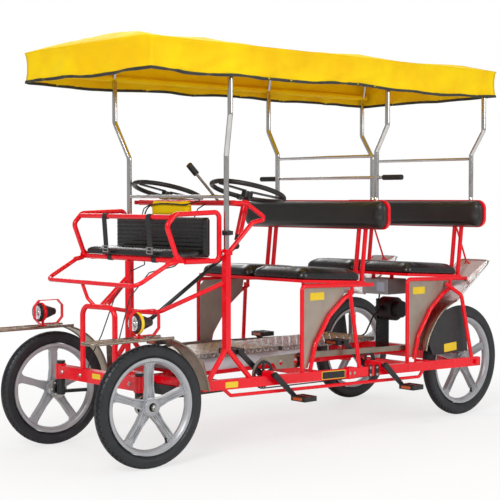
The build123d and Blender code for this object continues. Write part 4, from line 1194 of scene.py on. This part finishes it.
def tape(name, line, ups, wide, thick, finish):
    """A flat closed band that follows a loop of points and leans as the cloth above them does."""
    points = []
    faces = []
    count = len(line)
    for n, p in enumerate(line):
        step = line[(n + 1) % count] - line[n - 1]
        step.normalize()
        side = step.cross(Vector((0, 0, 1))).normalized()
        for across, up in ((-thick, 0), (thick, 0), (thick, wide), (-thick, wide)):
            points.append(p + side * across + ups[n] * up)
    for n in range(count):
        m = (n + 1) % count
        for k in range(4):
            q = (k + 1) % 4
            faces.append([n * 4 + k, m * 4 + k, m * 4 + q, n * 4 + q])
    return mesh_object(name, points, faces, finish, False)


binding = tape("canopy_binding", [p - up * 0.003 for p, up in zip(edge, edge_ups)], edge_ups, 0.013, 0.003,
               dark_cloth)
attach(binding, "chassis")


# Floor, lamps, world and camera
def mix_shaders(made, share, first, second, output):
    mix = add(made, "MixShader")
    join(made, share, mix.inputs["Fac"])
    join(made, first, mix.inputs[1])
    join(made, second, mix.inputs[2])
    join(made, mix.outputs["Shader"], made.node_tree.nodes[output].inputs["Surface"])


bpy.ops.mesh.primitive_plane_add(size=60, location=(0, 0, 0))
floor = bpy.context.object
floor.name = "floor"
pale_floor = shader("pale_floor", (0.9, 0.9, 0.9), 0.9, 0.0, Specular_IOR_Level=0.1)
distance = add(pale_floor, "VectorMath", operation="LENGTH")
join(pale_floor, add(pale_floor, "NewGeometry").outputs["Position"], distance.inputs[0])
fade = spread(pale_floor, distance.outputs["Value"], 0.7, 1.0, 1.5, 3.2, interpolation_type="SMOOTHSTEP")
seen = add(pale_floor, "LightPath").outputs["Is Camera Ray"]
glow = add(pale_floor, "Emission", Color=(1, 1, 1, 1))
mix_shaders(pale_floor, calculate(pale_floor, "MULTIPLY", seen, fade),
            surface_of(pale_floor).outputs["BSDF"], glow.outputs["Emission"], "Material Output")
floor.data.materials.append(pale_floor)

world = bpy.data.worlds.new("studio")
world.use_nodes = True
bpy.context.scene.world = world
soft = world.node_tree.nodes["Background"]
soft.inputs["Color"].default_value = (1, 1, 1, 1)
soft.inputs["Strength"].default_value = 0.42
white = add(world, "Background", Color=(1, 1, 1, 1), Strength=1.0)
rays = add(world, "LightPath").outputs
seen = calculate(world, "MAXIMUM", rays["Is Camera Ray"], rays["Is Transmission Ray"])
mix_shaders(world, seen, soft.outputs["Background"], white.outputs["Background"], "World Output")

lamp_rows = (
    # name, place, size, watts
    ("key_lamp", (3.2, -5.5, 4.6), 2.6, 230),
    ("side_lamp", (6.0, 2.0, 3.0), 2.6, 95),
    ("top_lamp", (0.0, 0.0, 6.5), 3.6, 120),
    ("back_lamp", (-5.5, 3.0, 3.6), 3.0, 90),
)
for name, spot, size, watts in lamp_rows:
    data = bpy.data.lights.new(name, "AREA")
    data.energy = watts
    data.size = size
    lamp = linked(name, data)
    lamp.location = spot
    lamp.rotation_euler = (Vector((0, 0, 0.8)) - Vector(spot)).to_track_quat("-Z", "Y").to_euler()

camera_data = bpy.data.cameras.new("camera")
camera_data.sensor_width = 36.0
camera_data.lens = 92.95
camera = linked("camera", camera_data)
camera.location = (4.595, -4.312, 1.132)
camera.rotation_euler = (radians(90 - 2.33), 0, radians(47.45))
bpy.context.scene.camera = camera
bpy.context.scene.view_settings.view_transform = "Standard"
